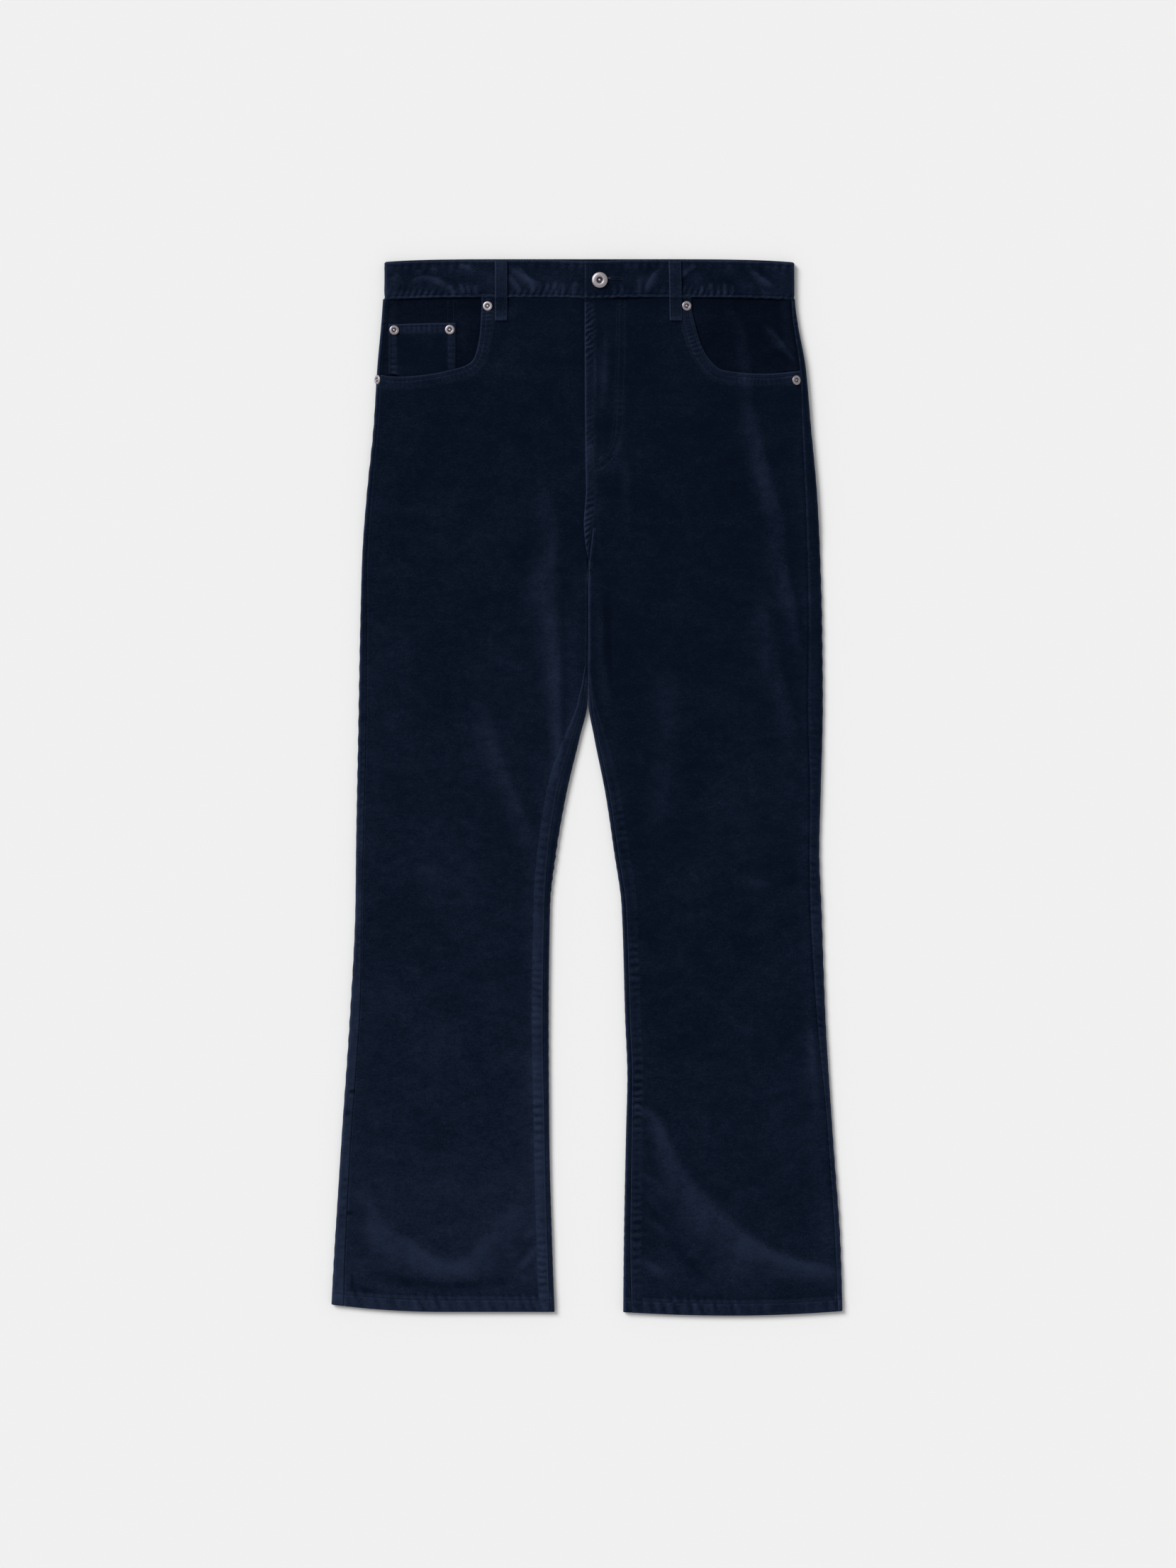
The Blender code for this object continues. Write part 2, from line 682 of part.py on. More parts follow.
def make_button():
    """A shank button: its foot stands on the lower end of the band, inside the buttonhole."""
    foot = band_up(0.0) + GAP
    face = band_up(0.0) + BAND + GAP + GAP + 0.2
    rise = face - foot
    profile = (
        (0.0, 0.0), (SHANK_R, 0.0), (SHANK_R, rise), (6.8, rise), (8.5, rise + 0.9), (8.3, rise + 2.0),
        (6.6, rise + 2.9), (4.4, rise + 2.7), (3.4, rise + 1.9), (1.4, rise + 1.8), (1.0, rise + 2.4),
        (0.0, rise + 2.5),
    )
    turned("button", profile, 24, place(RIGHT, BUTTON_X, BUTTON_DOWN, foot))


def main():
    for old in list(bpy.data.objects):
        bpy.data.objects.remove(old, do_unlink=True)
    for leg in (LEFT, RIGHT):
        make_front(leg)
        make_back(leg)
        make_yoke(leg)
        make_facing(leg)
        make_back_pocket(leg)
        make_hem(leg)
        make_loop("loop_front_" + leg.name, leg, 92.0 if leg is LEFT else 94.3, 92.0 if leg is LEFT else 95.4)
        make_loop("loop_back_" + leg.name, leg, 128.0, 128.0, behind=True)
    make_loop("loop_back_middle", RIGHT, 0.0, 0.0, behind=True)
    make_coin_pocket(LEFT)
    make_waistband()
    make_rivets()
    make_button()


main()
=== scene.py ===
"""The looks of velvet bootcut jeans that lie flat with their front up.

Places on the cloth are in millimetres: "across" is the distance out from the centre line, "down"
the distance below the waist's top edge and "up" the height above the floor. Left and right are
as seen from above, so the left leg is the one at -X.
"""

import math
from collections import namedtuple

import bmesh
import bpy
import numpy as np
from mathutils import Matrix, Vector


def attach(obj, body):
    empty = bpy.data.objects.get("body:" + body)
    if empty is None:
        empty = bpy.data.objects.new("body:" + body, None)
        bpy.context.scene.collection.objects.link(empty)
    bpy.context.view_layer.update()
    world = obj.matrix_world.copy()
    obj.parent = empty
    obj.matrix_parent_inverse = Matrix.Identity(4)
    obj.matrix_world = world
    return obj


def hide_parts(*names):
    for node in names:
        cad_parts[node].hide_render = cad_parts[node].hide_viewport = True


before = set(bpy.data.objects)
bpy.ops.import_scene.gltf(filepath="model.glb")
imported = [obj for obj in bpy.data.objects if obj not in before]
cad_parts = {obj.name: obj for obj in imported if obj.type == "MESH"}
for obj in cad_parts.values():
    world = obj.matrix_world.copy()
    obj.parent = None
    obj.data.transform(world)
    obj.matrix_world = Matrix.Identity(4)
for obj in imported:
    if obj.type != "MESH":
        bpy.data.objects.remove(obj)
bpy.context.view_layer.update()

bl_info = {
    "name": "Velvet bootcut jeans",
    "version": (1, 0, 0),
    "blender": (4, 5, 0),
    "location": "View3D > Sidebar > Jeans",
    "description": "Builds velvet bootcut jeans laid flat, with their seams, sewing and metal trim",
    "category": "Object",
}

MM = 0.001

# ---- sizes of the frame's cloth, the same as in its solids

CLOTH = 1.4  # thickness of the leg panels
LINING = 1.0  # thickness of pocket facings, coin pocket and turned-up hems
BAND = 2.2  # thickness of the waistband
GAP = 0.3  # room left at every seam and between layers
BAND_TOP, BAND_LOW = 0.8, 41.0
CROTCH = 322.0
HEM = 1128.5
HEM_TURN = 14.0  # height of the turned-up hem
BACK_RISE = -0.8  # the back of the waistband shows just above its front
SIDE_YOKE = 67.6  # the yoke's lower seam at the side
MIDDLE_YOKE = 30.0  # how much lower that seam is at the centre back
FOLD_R = 3.0  # radius of the fold edges
REST = 3.4  # top of the front where it lies on the back
FOLD_UP = 6.0  # top of a fold edge
FOLD_FALL = 17.0  # how far in from a fold edge the cloth stays raised
SEAT_LIFT = 1.5  # the seat lies on its patch pockets and rear belt loops
SIDE_DROOP = 3.2  # the waist is this much lower at its two sides
TOP_Y = (HEM + 4.0 + BACK_RISE) / 2  # puts the middle of the length on y = 0
FLY = -2.6  # the lapped edge of the fly
FLY_LAP, FLY_LIFT = 9.0, 2.1
FACING_INNER, FACING_LOW = 103.0, 136.0
COIN_OUTER, COIN_INNER, COIN_TOP = 212.5, 140.5, 67.6
BUTTON_X, BUTTON_DOWN = 13.7, 22.8
LOOP_WIDTH, LOOP_TOP, LOOP_LOW = 13.4, 1.5, 66.0

# ---- this script's own sizes

SHELL = 0.9  # thickness of a panel's shell
CLEAR = 0.05  # half the opening of a seam
PANEL_TOP, FACING_TOP, YOKE_TOP = 38.0, 39.0, 39.5  # these pieces start under the waistband
BAND_COLUMNS = 560  # points along the whole waistband
HEM_ROWS = HEM - 20  # below this the rows of a panel lie closer together
TUCK = (38.5, 42.5)  # between these the cloth sinks under the waistband
PATCH_MIDDLE, PATCH_TOP, PATCH_LOW = 119.0, 110.0, 266.0  # a patch pocket's middle line and ends
PATCH_HALF, PATCH_TAPER, PATCH_POINT = 76.0, 8.0, 23.0  # half its width, and how its sides and foot slant
LAP_SLOPE = (32, 82)  # between these the waistband's lapped end comes down onto the panels
INSEAM_TOP = 432.0  # the pressed inseam starts here, a little below the crotch
# Rows of stitches: in from the sewn edges, and either side of the fly's curve
SCOOP_SEWING, INSEAM_SEWING, FLY_SEWING, CURVE_SEWING = (4.0, 12.0), 2.4, 9.6, (0.0, 6.0)
COIN_TOP_SEWING, COIN_SIDE_SEWING = (3.1, 11.1), (2.0, 8.6)  # the coin pocket's rows of stitches
LOOP_SEWING = (-3.7, 3.3)  # a belt loop's two rows, from its middle
PATCH_SEWING = (2.2, 8.2)  # a patch pocket's two rows, in from its edge
YOKE_SEWING = (1.8, 7.8)  # the two rows of stitches beside the yoke and centre-back seams
FLOOR_HALF, FLOOR_GAP = 6.0, 0.0002  # metres: half the floor's side, and its drop below the jeans
KEY_PLACE, KEY_WIDTH = (-2.2, 2.0, 2.6), 30  # metres, and how many degrees of the sky the lamp fills
LENS = 85  # millimetres, on the usual 36 mm sensor
PIXEL = 0.76  # millimetres to a pixel of the photo
PHOTO_ROWS, WAIST_ROW = 2212, 366  # its height in pixels, and the row of the waist's top edge
CENTRE_SHIFT = 1.5  # pixels from the jeans' centre line to the photo's
CLOTH_MIDDLE = 0.006  # metres up to the cloth, which the camera's height is measured from

Leg = namedtuple("Leg", "name sign side inseam hem_drop hem_rise fly_edge facing_drop scoop")
Fold = namedtuple("Fold", "x0 down0 x1 down1 x2 down2 half height slant")
Ridge = namedtuple("Ridge", "path slant")
Welt = namedtuple("Welt", "offset rise ripple")


def rows(kind, *values):
    return tuple(kind(*value) for value in values)


# down, fold edge from the centre line, seam in from that edge
SIDE_LEFT = (
    (0, 216.6, 4.0), (41, 218.9, 4.0), (68, 220.8, 4.0), (117, 225.0, 4.0), (178, 228.8, 4.0),
    (254, 236.4, 5.0), (322, 241.3, 5.5), (391, 243.2, 7.5), (512, 245.5, 8.7), (634, 247.8, 8.0),
    (695, 248.5, 7.0), (816, 254.6, 11.0), (938, 263.0, 10.6), (1059, 270.6, 12.0), (1130, 274.2, 13.7),
)
SIDE_RIGHT = (
    (0, 221.9, 4.0), (41, 223.2, 4.0), (68, 226.5, 5.3), (117, 234.8, 6.8), (178, 240.2, 9.5),
    (254, 247.0, 13.0), (322, 250.4, 14.0), (391, 252.3, 14.8), (475, 253.1, 16.7), (573, 250.8, 12.0),
    (634, 249.3, 11.0), (695, 251.6, 12.5), (816, 256.1, 9.5), (938, 263.7, 5.5), (1059, 272.1, 6.0),
    (1130, 274.2, 5.0),
)
INSEAM_LEFT = (
    (322, -1.0, 0.4), (391, -1.0, 0.4), (424, -1.0, 1.0), (457, -0.8, 4.0), (475, -0.60, 6.4),
    (512, 7.6, 7.4), (573, 22.0, 9.6), (634, 32.7, 8.2), (695, 39.5, 5.6), (816, 41.0, 6.0),
    (938, 40.3, 4.5), (1059, 37.2, 4.6), (1130, 34.6, 4.6),
)
INSEAM_RIGHT = (
    (322, 0.95, 0.4), (391, 0.95, 0.4), (430, 0.95, 0.8), (457, 1.10, 2.2), (475, 1.40, 3.6),
    (512, 7.6, 3.8), (573, 19.8, 4.0), (634, 28.9, 4.0), (695, 37.2, 4.5), (816, 41.0, 5.0),
    (877, 43.3, 5.0), (938, 41.8, 6.0), (1059, 39.5, 7.0), (1130, 38.8, 9.1),
)
# The pocket scoop from the waistband round to the side seam: across, down
SCOOP_LEFT = (
    (113, 36), (113.4, 55), (115.5, 83), (121, 105), (130, 113.5), (147, 118.5), (168, 122.8), (193, 125.4),
    (212, 125.2), (221, 123.2),
)
SCOOP_RIGHT = (
    (112, 36), (112.8, 55), (118.3, 78), (123.6, 93.5), (130.5, 105.6), (139, 115), (148, 118.9),
    (171, 121.9), (197, 122.4), (223, 119.9), (229, 119.5),
)

LEFT = Leg("left", -1, SIDE_LEFT, INSEAM_LEFT, 0.0, 8.0, -FLY, 3.0, SCOOP_LEFT)
RIGHT = Leg("right", 1, SIDE_RIGHT, INSEAM_RIGHT, 4.0, 1.0, FLY, 1.7, SCOOP_RIGHT)
LEGS = (LEFT, RIGHT)

# The long creases of the upper side: x, down, half width and height along each; steeper on one side
RIDGES = (
    Ridge(((151, 40, 6, 0.2), (154, 54, 6, 0.5), (163, 72, 6, 0.7), (170, 104, 6, 0.8),
           (172.5, 148, 7, 0.9), (178, 179, 9, 1.6), (185, 211, 9, 2.0), (193, 242, 9, 2.1),
           (203, 274, 9, 1.8), (211, 300, 7, 0.6), (216, 316, 6, 0.0)), 0.2),
    Ridge(((202, 286, 6, 0.0), (206, 313, 9, 1.2), (212, 343, 9, 1.7), (218, 365, 8, 1.4),
           (226, 403, 6, 0.7), (231, 424, 5, 0.0)), 0.3),
    Ridge(((186, 366, 8, 0.0), (190, 388, 9, 0.9), (196, 419, 10, 1.2), (207, 462, 11, 1.6),
           (216, 500, 11, 1.2), (224, 548, 9, 0.0)), 0.2),
    Ridge(((-41, 232, 8, 0.0), (-41, 264, 9, 0.8), (-37, 305, 10, 1.4), (-43, 346, 14, 1.8),
           (-38, 395, 11, 1.6), (-33, 435, 9, 1.7), (-32, 488, 7, 1.4), (-29, 529, 6, 0.9),
           (-34, 562, 5, 0.0)), 0.25),
    Ridge(((-114, 462, 13, 0.0), (-106, 505, 14, 0.7), (-95, 545, 12, 1.2), (-84, 573, 11, 1.4),
           (-72, 598, 10, 1.3), (-58, 625, 9, 0.9), (-47, 641, 8, 0.0)), 0.25),
    Ridge(((-244, 975, 9, 0.0), (-238, 1004, 11, 0.8), (-230, 1030, 13, 1.4), (-219, 1048, 14, 1.7),
           (-204, 1057, 14, 1.8), (-188, 1064, 13, 1.9), (-172, 1074, 12, 1.8), (-158, 1082, 11, 1.5),
           (-143, 1085, 11, 1.2), (-124, 1077, 14, 1.1), (-109, 1064, 15, 1.1), (-94, 1049, 15, 1.1),
           (-82, 1031, 13, 1.0), (-70, 1010, 11, 0.5), (-64, 992, 10, 0.0)), 0.3),
    Ridge(((48, 906, 3, 0.0), (58, 913, 4, 0.9), (71, 920, 6, 1.4), (80, 937, 8, 1.7), (86, 955, 9, 1.8),
           (92, 970, 11, 1.8), (103, 990, 13, 1.8), (118, 1007, 15, 1.9), (133, 1024, 17, 2.0),
           (150, 1041, 17, 2.0), (169, 1055, 17, 2.1), (190, 1068, 16, 2.2), (213, 1078, 15, 2.1),
           (236, 1083, 13, 1.8), (256, 1086, 12, 1.3), (271, 1088, 10, 0.6)), 0.38),
    Ridge(((84, 440, 11, 0.0), (86, 470, 13, 0.8), (88, 520, 14, 1.0), (82, 570, 14, 0.9),
           (78, 625, 12, 0.0)), 0.0),
    Ridge(((9, 326, 4, 0.0), (10, 350, 5, 0.4), (10.5, 400, 5, 0.5), (15, 450, 5, 0.6), (24, 500, 6, 0.0)),
          0.0),
    Ridge(((21, 352, 3, 0.0), (21.5, 385, 4, -0.9), (23, 430, 4, -0.9), (29, 478, 5, 0.0)), 0.0),
    Ridge(((234, 770, 5, 0.0), (240, 824, 5, 0.5), (244, 870, 5, 0.6), (250, 930, 5, 0.0)), -0.2),
)
# The short creases of the upper side, each along a curve from 0 past 1 to 2
FOLDS = RIDGES + rows(
    Fold, (-184, 650, -176, 655, -160, 657, 3, 0.5, 0.2), (-147, 599, -122, 604, -105, 620, 3, 0.6, 0.2),
    (-133, 864, -125, 876, -113, 888, 8, 0.5, 0.0), (-230, 908, -228, 924, -224, 940, 7, 0.5, 0.0),
    (168, 662, 185, 674, 204, 668, 3, 0.5, 0.2), (42, 205, 42, 250, 41, 302, 7, 0.8, 0.2),
    (19, 72, 22.5, 108, 19.5, 150, 2.4, 0.8, 0.3), (16, 92, 17, 130, 16, 172, 3.2, 0.7, 0.0),
    (9.5, 96, 11, 120, 10, 150, 1.8, 0.5, 0.0), (-1, 178, 18, 185, 37, 181, 8, -0.9, 0.0),
    (14, 199, 15, 210, 17, 221, 3, 0.7, 0.0), (53, 194, 56, 212, 58, 230, 5, 0.3, 0.2),
    (5, 196, 4, 210, 5, 224, 4, 0.8, 0.0), (8, 230, 24, 228, 36, 206, 4, 0.7, 0.2),
    (26, 214, 33, 204, 36, 190, 2.6, 0.7, 0.2), (13.5, 244, 14, 285, 14.5, 325, 2.4, 0.5, 0.4),
    (188, 68, 209, 88, 228, 115, 3.4, 1.2, 0.5), (206, 96, 216, 104, 228, 122, 5, -0.8, 0.0),
    (-132, 50, -128, 72, -134, 100, 5, 0.4, 0.2), (-60, 52, -90, 66, -120, 60, 8, 0.6, 0.1),
    (51, 974, 70, 989, 94, 1009, 4, 0.7, 0.2), (62, 1002, 72, 1010, 84, 1024, 3, 0.7, 0.2),
    (54, 1023, 77, 1037, 96, 1054, 5, 0.9, 0.2), (51, 1071, 70, 1079, 92, 1096, 6, 1.0, 0.2),
    (78, 1038, 100, 1062, 132, 1102, 9, -0.9, 0.0), (-250, 1090, -160, 1110, -62, 1094, 9, -1.3, 0.0),
    (-90, 1069, -82, 1070, -73, 1068, 2, 0.8, 0.0), (-73, 1084, -62, 1074, -52, 1057, 3, 1.0, 0.0),
    (-71, 1052, -62, 1047, -52, 1038, 3, 0.8, 0.0), (-253, 1086, -252, 1104, -244, 1126, 2.4, -1.0, 0.0),
    (-250, 1100, -240, 1104, -228, 1106, 2.4, -0.7, 0.0),
    (-272, 1024, -262, 1024, -250, 1022, 1.2, -1.0, 0.0), (-256, 894, -252, 891, -246, 893, 1.4, -1.0, 0.0),
    (-263, 914, -257, 917, -250, 915, 1.3, -0.9, 0.0), (-264, 1046, -259, 1050, -252, 1050, 1.3, -0.9, 0.0),
    (-272, 1085, -264, 1087, -255, 1086, 2.0, -0.7, 0.0),
)
# Creases of the underside, pressed up from the floor
FOLDS_UNDER = rows(
    Fold, (-60, 400, -120, 470, -205, 500, 12, 0.9, 0.2), (60, 420, 120, 470, 190, 520, 12, 0.9, 0.2),
    (-80, 660, -140, 690, -215, 670, 9, 0.7, 0.2), (80, 690, 140, 670, 215, 700, 9, 0.7, 0.2),
    (-70, 880, -130, 1000, -240, 1050, 13, 1.0, 0.2), (70, 900, 140, 1010, 235, 1060, 13, 1.0, 0.2),
)

# Creases of the waistband's front
BAND_FOLDS = rows(
    Fold, (-193, 27, -172, 6, -139, 38, 2.8, 0.55, 0.3), (-209, 22, -206, 17, -201, 14, 2.4, 0.45, 0.0),
    (-186, 14, -181, 11, -176, 15, 2.2, 0.4, 0.0), (-168, 12, -163, 9, -158, 13, 2.2, 0.4, 0.0),
    (-137, 7, -130, 7, -124, 11, 2.2, 0.5, 0.0), (-148, 26, -144, 32, -141, 40, 1.9, 0.6, 0.3),
    (-136, 24, -133, 31, -131, 40, 1.9, 0.7, 0.3), (-129, 26, -126, 33, -124, 40, 1.8, 0.6, 0.3),
    (-121, 27, -118, 33, -117, 40, 1.8, 0.5, 0.3), (-86, 6, -70, 19, -45, 29, 2.6, 0.6, 0.4),
    (-79, 5, -62, 18, -52, 36, 2.4, 0.5, 0.4), (-85, 14, -75, 26, -69, 40, 2.4, 0.55, 0.4),
    (-60, 26, -56, 33, -55, 40, 1.8, 0.45, 0.3), (-42, 24, -41, 32, -41, 40, 1.8, 0.55, 0.2),
    (-34, 22, -34, 32, -33, 40, 1.8, 0.6, 0.2), (-25, 25, -26, 32, -26, 40, 1.8, 0.5, 0.2),
    (-11, 21, -15, 30, -16, 40, 2.0, 0.6, -0.3), (29, 26, 31, 33, 31, 40, 1.8, 0.4, 0.2),
    (37, 24, 38, 32, 39, 40, 1.8, 0.5, 0.2), (58, 18, 55, 29, 56, 40, 2.2, 0.55, 0.2),
    (79, 9, 65, 21, 61, 40, 2.6, 0.7, -0.4), (101, 21, 107, 10, 120, 7, 2.2, 0.6, -0.4),
    (124, 27, 123, 33, 124, 40, 1.8, 0.5, 0.2), (133, 24, 133, 32, 134, 40, 1.9, 0.6, 0.2),
    (141, 25, 141, 32, 142, 40, 1.8, 0.5, 0.2), (148, 23, 148, 32, 149, 40, 1.8, 0.6, 0.2),
    (156, 26, 157, 33, 157, 40, 1.8, 0.4, 0.2), (172, 6, 185, 21, 204, 29, 3.0, 0.6, 0.3),
    (186, 30, 190, 34, 196, 40, 2.2, 0.4, 0.2),
)

# Profiles of sewn edges: distance in from the edge, rise over the panel, share of the puckers
ROLLED = rows(
    Welt, (0.7, -1.5, 0), (0.0, -0.8, 0), (0.2, -0.15, 0.2),
)
SCOOP_WELT = ROLLED + rows(
    Welt, (0.9, 0.60, 0.5), (2.2, 0.86, 0.8), (3.3, 0.66, 0.6), (4.4, 0.12, 0.2), (5.4, 0.60, 0.8),
    (6.8, 0.78, 1), (8.4, 0.80, 1), (10.0, 0.72, 1), (11.2, 0.48, 0.6), (12.0, 0.06, 0.2),
    (12.8, 0.36, 0.3), (14.2, 0.20, 0.2), (16.0, -0.6, 0),
)
INSEAM_WELT = ROLLED + rows(
    Welt, (0.8, 0.36, 0.4), (1.7, 0.44, 0.5), (2.4, 0.10, 0.3), (3.2, 0.46, 0.8), (4.8, 0.60, 1),
    (6.8, 0.62, 1), (8.8, 0.56, 1), (10.4, 0.32, 0.7), (11.8, 0.08, 0.3), (13.4, -0.5, 0),
)
FLY_WELT = ROLLED + rows(
    Welt, (0.8, 0.55, 0.4), (2.0, 0.86, 0.9), (3.8, 0.92, 1), (5.8, 0.86, 1), (7.8, 0.68, 0.9),
    (9.0, 0.28, 0.5), (9.6, 0.02, 0.2), (10.4, 0.34, 0.3), (12.4, 0.22, 0.2), (14.6, -0.6, 0),
)
LINES_WELT = rows(
    Welt, (-5.0, -0.6, 0), (-3.4, 0.12, 0.4), (-1.4, 0.32, 0.7), (-0.6, 0.20, 0.3), (0.0, 0.0, 0),
    (0.7, 0.24, 0.5), (1.8, 0.38, 1), (3.0, 0.40, 1), (4.2, 0.38, 1), (5.3, 0.24, 0.5), (6.0, 0.0, 0),
    (6.7, 0.24, 0.5), (8.4, 0.12, 0.3), (10.2, -0.6, 0),
)
RIM_WELT = rows(
    Welt, (0.9, -1.6, 0), (0.1, -0.9, 0), (0.3, 0.3, 0), (1.0, 1.00, 0.4), (2.0, 1.00, 0.4),
    (3.6, 0.60, 0.2), (6.4, -0.6, 0),
)


# ---- settings that a user would change

# The velvet's colours from dark to pale; along the ramp between them the cloth is also given painted light
# and shade.
class JeansCloth(bpy.types.PropertyGroup):
    dark: bpy.props.FloatVectorProperty(
        name="Nap in shade", description="Colour of the velvet where its nap leans away",
        subtype="COLOR", size=3, min=0, max=1, default=(0.0014, 0.0032, 0.0084))
    middle: bpy.props.FloatVectorProperty(
        name="Nap upright", description="Colour of the velvet where its nap stands up",
        subtype="COLOR", size=3, min=0, max=1, default=(0.0029, 0.0060, 0.0148))
    light: bpy.props.FloatVectorProperty(
        name="Nap in light", description="Colour of the velvet where its nap is brushed open",
        subtype="COLOR", size=3, min=0, max=1, default=(0.0170, 0.0262, 0.0540))
    sheen: bpy.props.FloatProperty(
        name="Sheen", description="How much the nap glows at a slant", min=0, max=1, default=0.022)
    grain: bpy.props.FloatProperty(
        name="Grain", description="Depth of the nap's fine grain", unit="LENGTH", min=0, max=0.001,
        default=0.00022)


class JeansSewing(bpy.types.PropertyGroup):
    stitch: bpy.props.FloatProperty(
        name="Stitch", description="Length from one stitch to the next", unit="LENGTH", min=0.001, max=0.006,
        default=0.0022)
    thread: bpy.props.FloatProperty(
        name="Thread", description="Thickness of the thread", unit="LENGTH", min=0.0001, max=0.002,
        default=0.00052)
    colour: bpy.props.FloatVectorProperty(
        name="Thread colour", description="Colour of the sewing thread",
        subtype="COLOR", size=3, min=0, max=1, default=(0.0150, 0.0220, 0.0420))


class JeansMetal(bpy.types.PropertyGroup):
    colour: bpy.props.FloatVectorProperty(
        name="Metal", description="Colour of the rivets and the button",
        subtype="COLOR", size=3, min=0, max=1, default=(0.50, 0.455, 0.48))
    roughness: bpy.props.FloatProperty(
        name="Roughness", description="How dull the metal is", min=0, max=1, default=0.42)


class JeansStage(bpy.types.PropertyGroup):
    floor: bpy.props.FloatVectorProperty(
        name="Floor", description="Colour of the floor", subtype="COLOR", size=3, min=0, max=1,
        default=(0.90, 0.90, 0.90))
    key: bpy.props.FloatProperty(
        name="Key light", description="Strength of the broad lamp at the upper left", min=0, default=2.55)
    fill: bpy.props.FloatProperty(
        name="Fill light", description="Strength of the light from all round", min=0, default=0.435)


# ---- curves, waves and heights

def ease(value, start, end):
    """0 before start, 1 after end, and a smooth step between them."""
    t = np.clip((np.asarray(value, float) - start) / (end - start), 0.0, 1.0)
    return t * t * (3 - 2 * t)


def fade(value, start, end):
    """1 before start, 0 after end, and a smooth step between them."""
    return 1 - ease(value, start, end)


def bell(far, width):
    """1 on a line, and falling off smoothly at about a width from it."""
    return np.exp(-((far / width) ** 2))


def through(points, at):
    """A smooth curve through (place, height) points that never overshoots them."""
    xs, ys = np.array(points, float).T
    slope = np.diff(ys) / np.diff(xs)
    product = slope[:-1] * slope[1:]
    total = np.where(product > 0, slope[:-1] + slope[1:], 1.0)
    inner = np.where(product > 0, 2 * product / total, 0.0)
    tangent = np.concatenate([slope[:1], inner, slope[-1:]])
    at = np.asarray(at, float)
    i = np.clip(np.searchsorted(xs, at, side="right") - 1, 0, len(xs) - 2)
    h = xs[i + 1] - xs[i]
    t = np.clip((at - xs[i]) / h, 0.0, 1.0)
    rise = (1 + 2 * t) * (1 - t) ** 2 * ys[i] + t * t * (3 - 2 * t) * ys[i + 1]
    return rise + h * t * (1 - t) * ((1 - t) * tangent[i] - t * tangent[i + 1])


def edge_at(table, down):
    """Where a fold edge lies, from its table."""
    return through([row[:2] for row in table], down)


def seam_at(table, down):
    """How far in from the fold edge the seam lies."""
    return through([(row[0], row[2]) for row in table], down)


def waves(along, spacing, seed):
    """Uneven ripples between -1 and 1, about one for each spacing."""
    turn = 2 * np.pi * along / spacing
    turn = turn + 1.9 * np.sin(along / (5.1 * spacing) + seed)
    turn = turn + 1.2 * np.sin(along / (1.9 * spacing) + 2.3 * seed)
    depth = 0.62 + 0.38 * np.sin(along / (2.7 * spacing) + 4.1 * seed)
    return depth * np.cos(turn)


def swell(x, down, size, seed):
    """Soft uneven hills between -1 and 1, about one size across."""
    def corner(i, j):
        value = np.sin(i * 127.1 + j * 311.7 + seed * 74.7) * 43758.5453
        return 2 * (value - np.floor(value)) - 1

    u, v = np.asarray(x, float) / size, np.asarray(down, float) / size
    i, j = np.floor(u), np.floor(v)
    s, t = ease(u - i, 0, 1), ease(v - j, 0, 1)
    upper = corner(i, j) * (1 - s) + corner(i + 1, j) * s
    lower = corner(i, j + 1) * (1 - s) + corner(i + 1, j + 1) * s
    return upper * (1 - t) + lower * t


def near_line(x, down, line):
    """Distance to a line of (x, down) points, the side of it, and the distance along it."""
    a, b = line[:-1], line[1:]
    run = b - a
    length = np.hypot(run[:, 0], run[:, 1])
    start = np.concatenate([[0.0], np.cumsum(length)[:-1]])
    px, pd = x[:, None] - a[:, 0], down[:, None] - a[:, 1]
    t = np.clip((px * run[:, 0] + pd * run[:, 1]) / length**2, 0, 1)
    qx, qd = px - t * run[:, 0], pd - t * run[:, 1]
    far = np.hypot(qx, qd)
    i = far.argmin(1)
    row = np.arange(len(i))
    side = np.sign(run[i, 0] * qd[row, i] - run[i, 1] * qx[row, i])
    return far[row, i], side, start[i] + t[row, i] * length[i]


def run_along(line):
    """The distance along a line at each of its points."""
    return np.concatenate([[0.0], np.cumsum(np.hypot(*np.diff(line[:, :2], axis=0).T))])


def crest(fold):
    """The line along the top of a crease, as rows of x, down, half width and height."""
    if isinstance(fold, Ridge):
        return smooth_line(fold.path, 6.0)
    t = np.linspace(0, 1, 15)
    a, b, c = (1 - t) ** 2, 2 * t * (1 - t), t * t
    taper = ease(t, 0, 0.3) * fade(t, 0.7, 1)
    return np.stack([
        a * fold.x0 + b * fold.x1 + c * fold.x2,
        a * fold.down0 + b * fold.down1 + c * fold.down2,
        np.full(15, float(fold.half)),
        fold.height * taper,
    ], axis=1)


def crease(x, down, folds, glow=0.0, slim=1.0):
    """Height of the creases at places on the cloth; a glow counts narrow creases for more, and
    slim draws them thinner."""
    x, down = np.broadcast_arrays(np.asarray(x, float), np.asarray(down, float))
    total = np.zeros(x.shape)
    for fold in folds:
        line = crest(fold)
        reach = 3 * line[:, 2].max()
        low, high = line[:, :2].min(0) - reach, line[:, :2].max(0) + reach
        close = (x > low[0]) & (x < high[0]) & (down > low[1]) & (down < high[1])
        if not close.any():
            continue
        far, side, along = near_line(x[close], down[close], line[:, :2])
        run = run_along(line)
        half = np.interp(along, run, line[:, 2])
        width = half * slim * (1 + 1.5 * fold.slant * side * ease(far, 0, half * slim))
        total[close] += np.interp(along, run, line[:, 3]) * (1 + glow / half) * bell(far, width)
    return total


def seat_lift(down):
    """How far the seat lies off the floor."""
    return SEAT_LIFT * fade(down, CROTCH - 46, CROTCH)


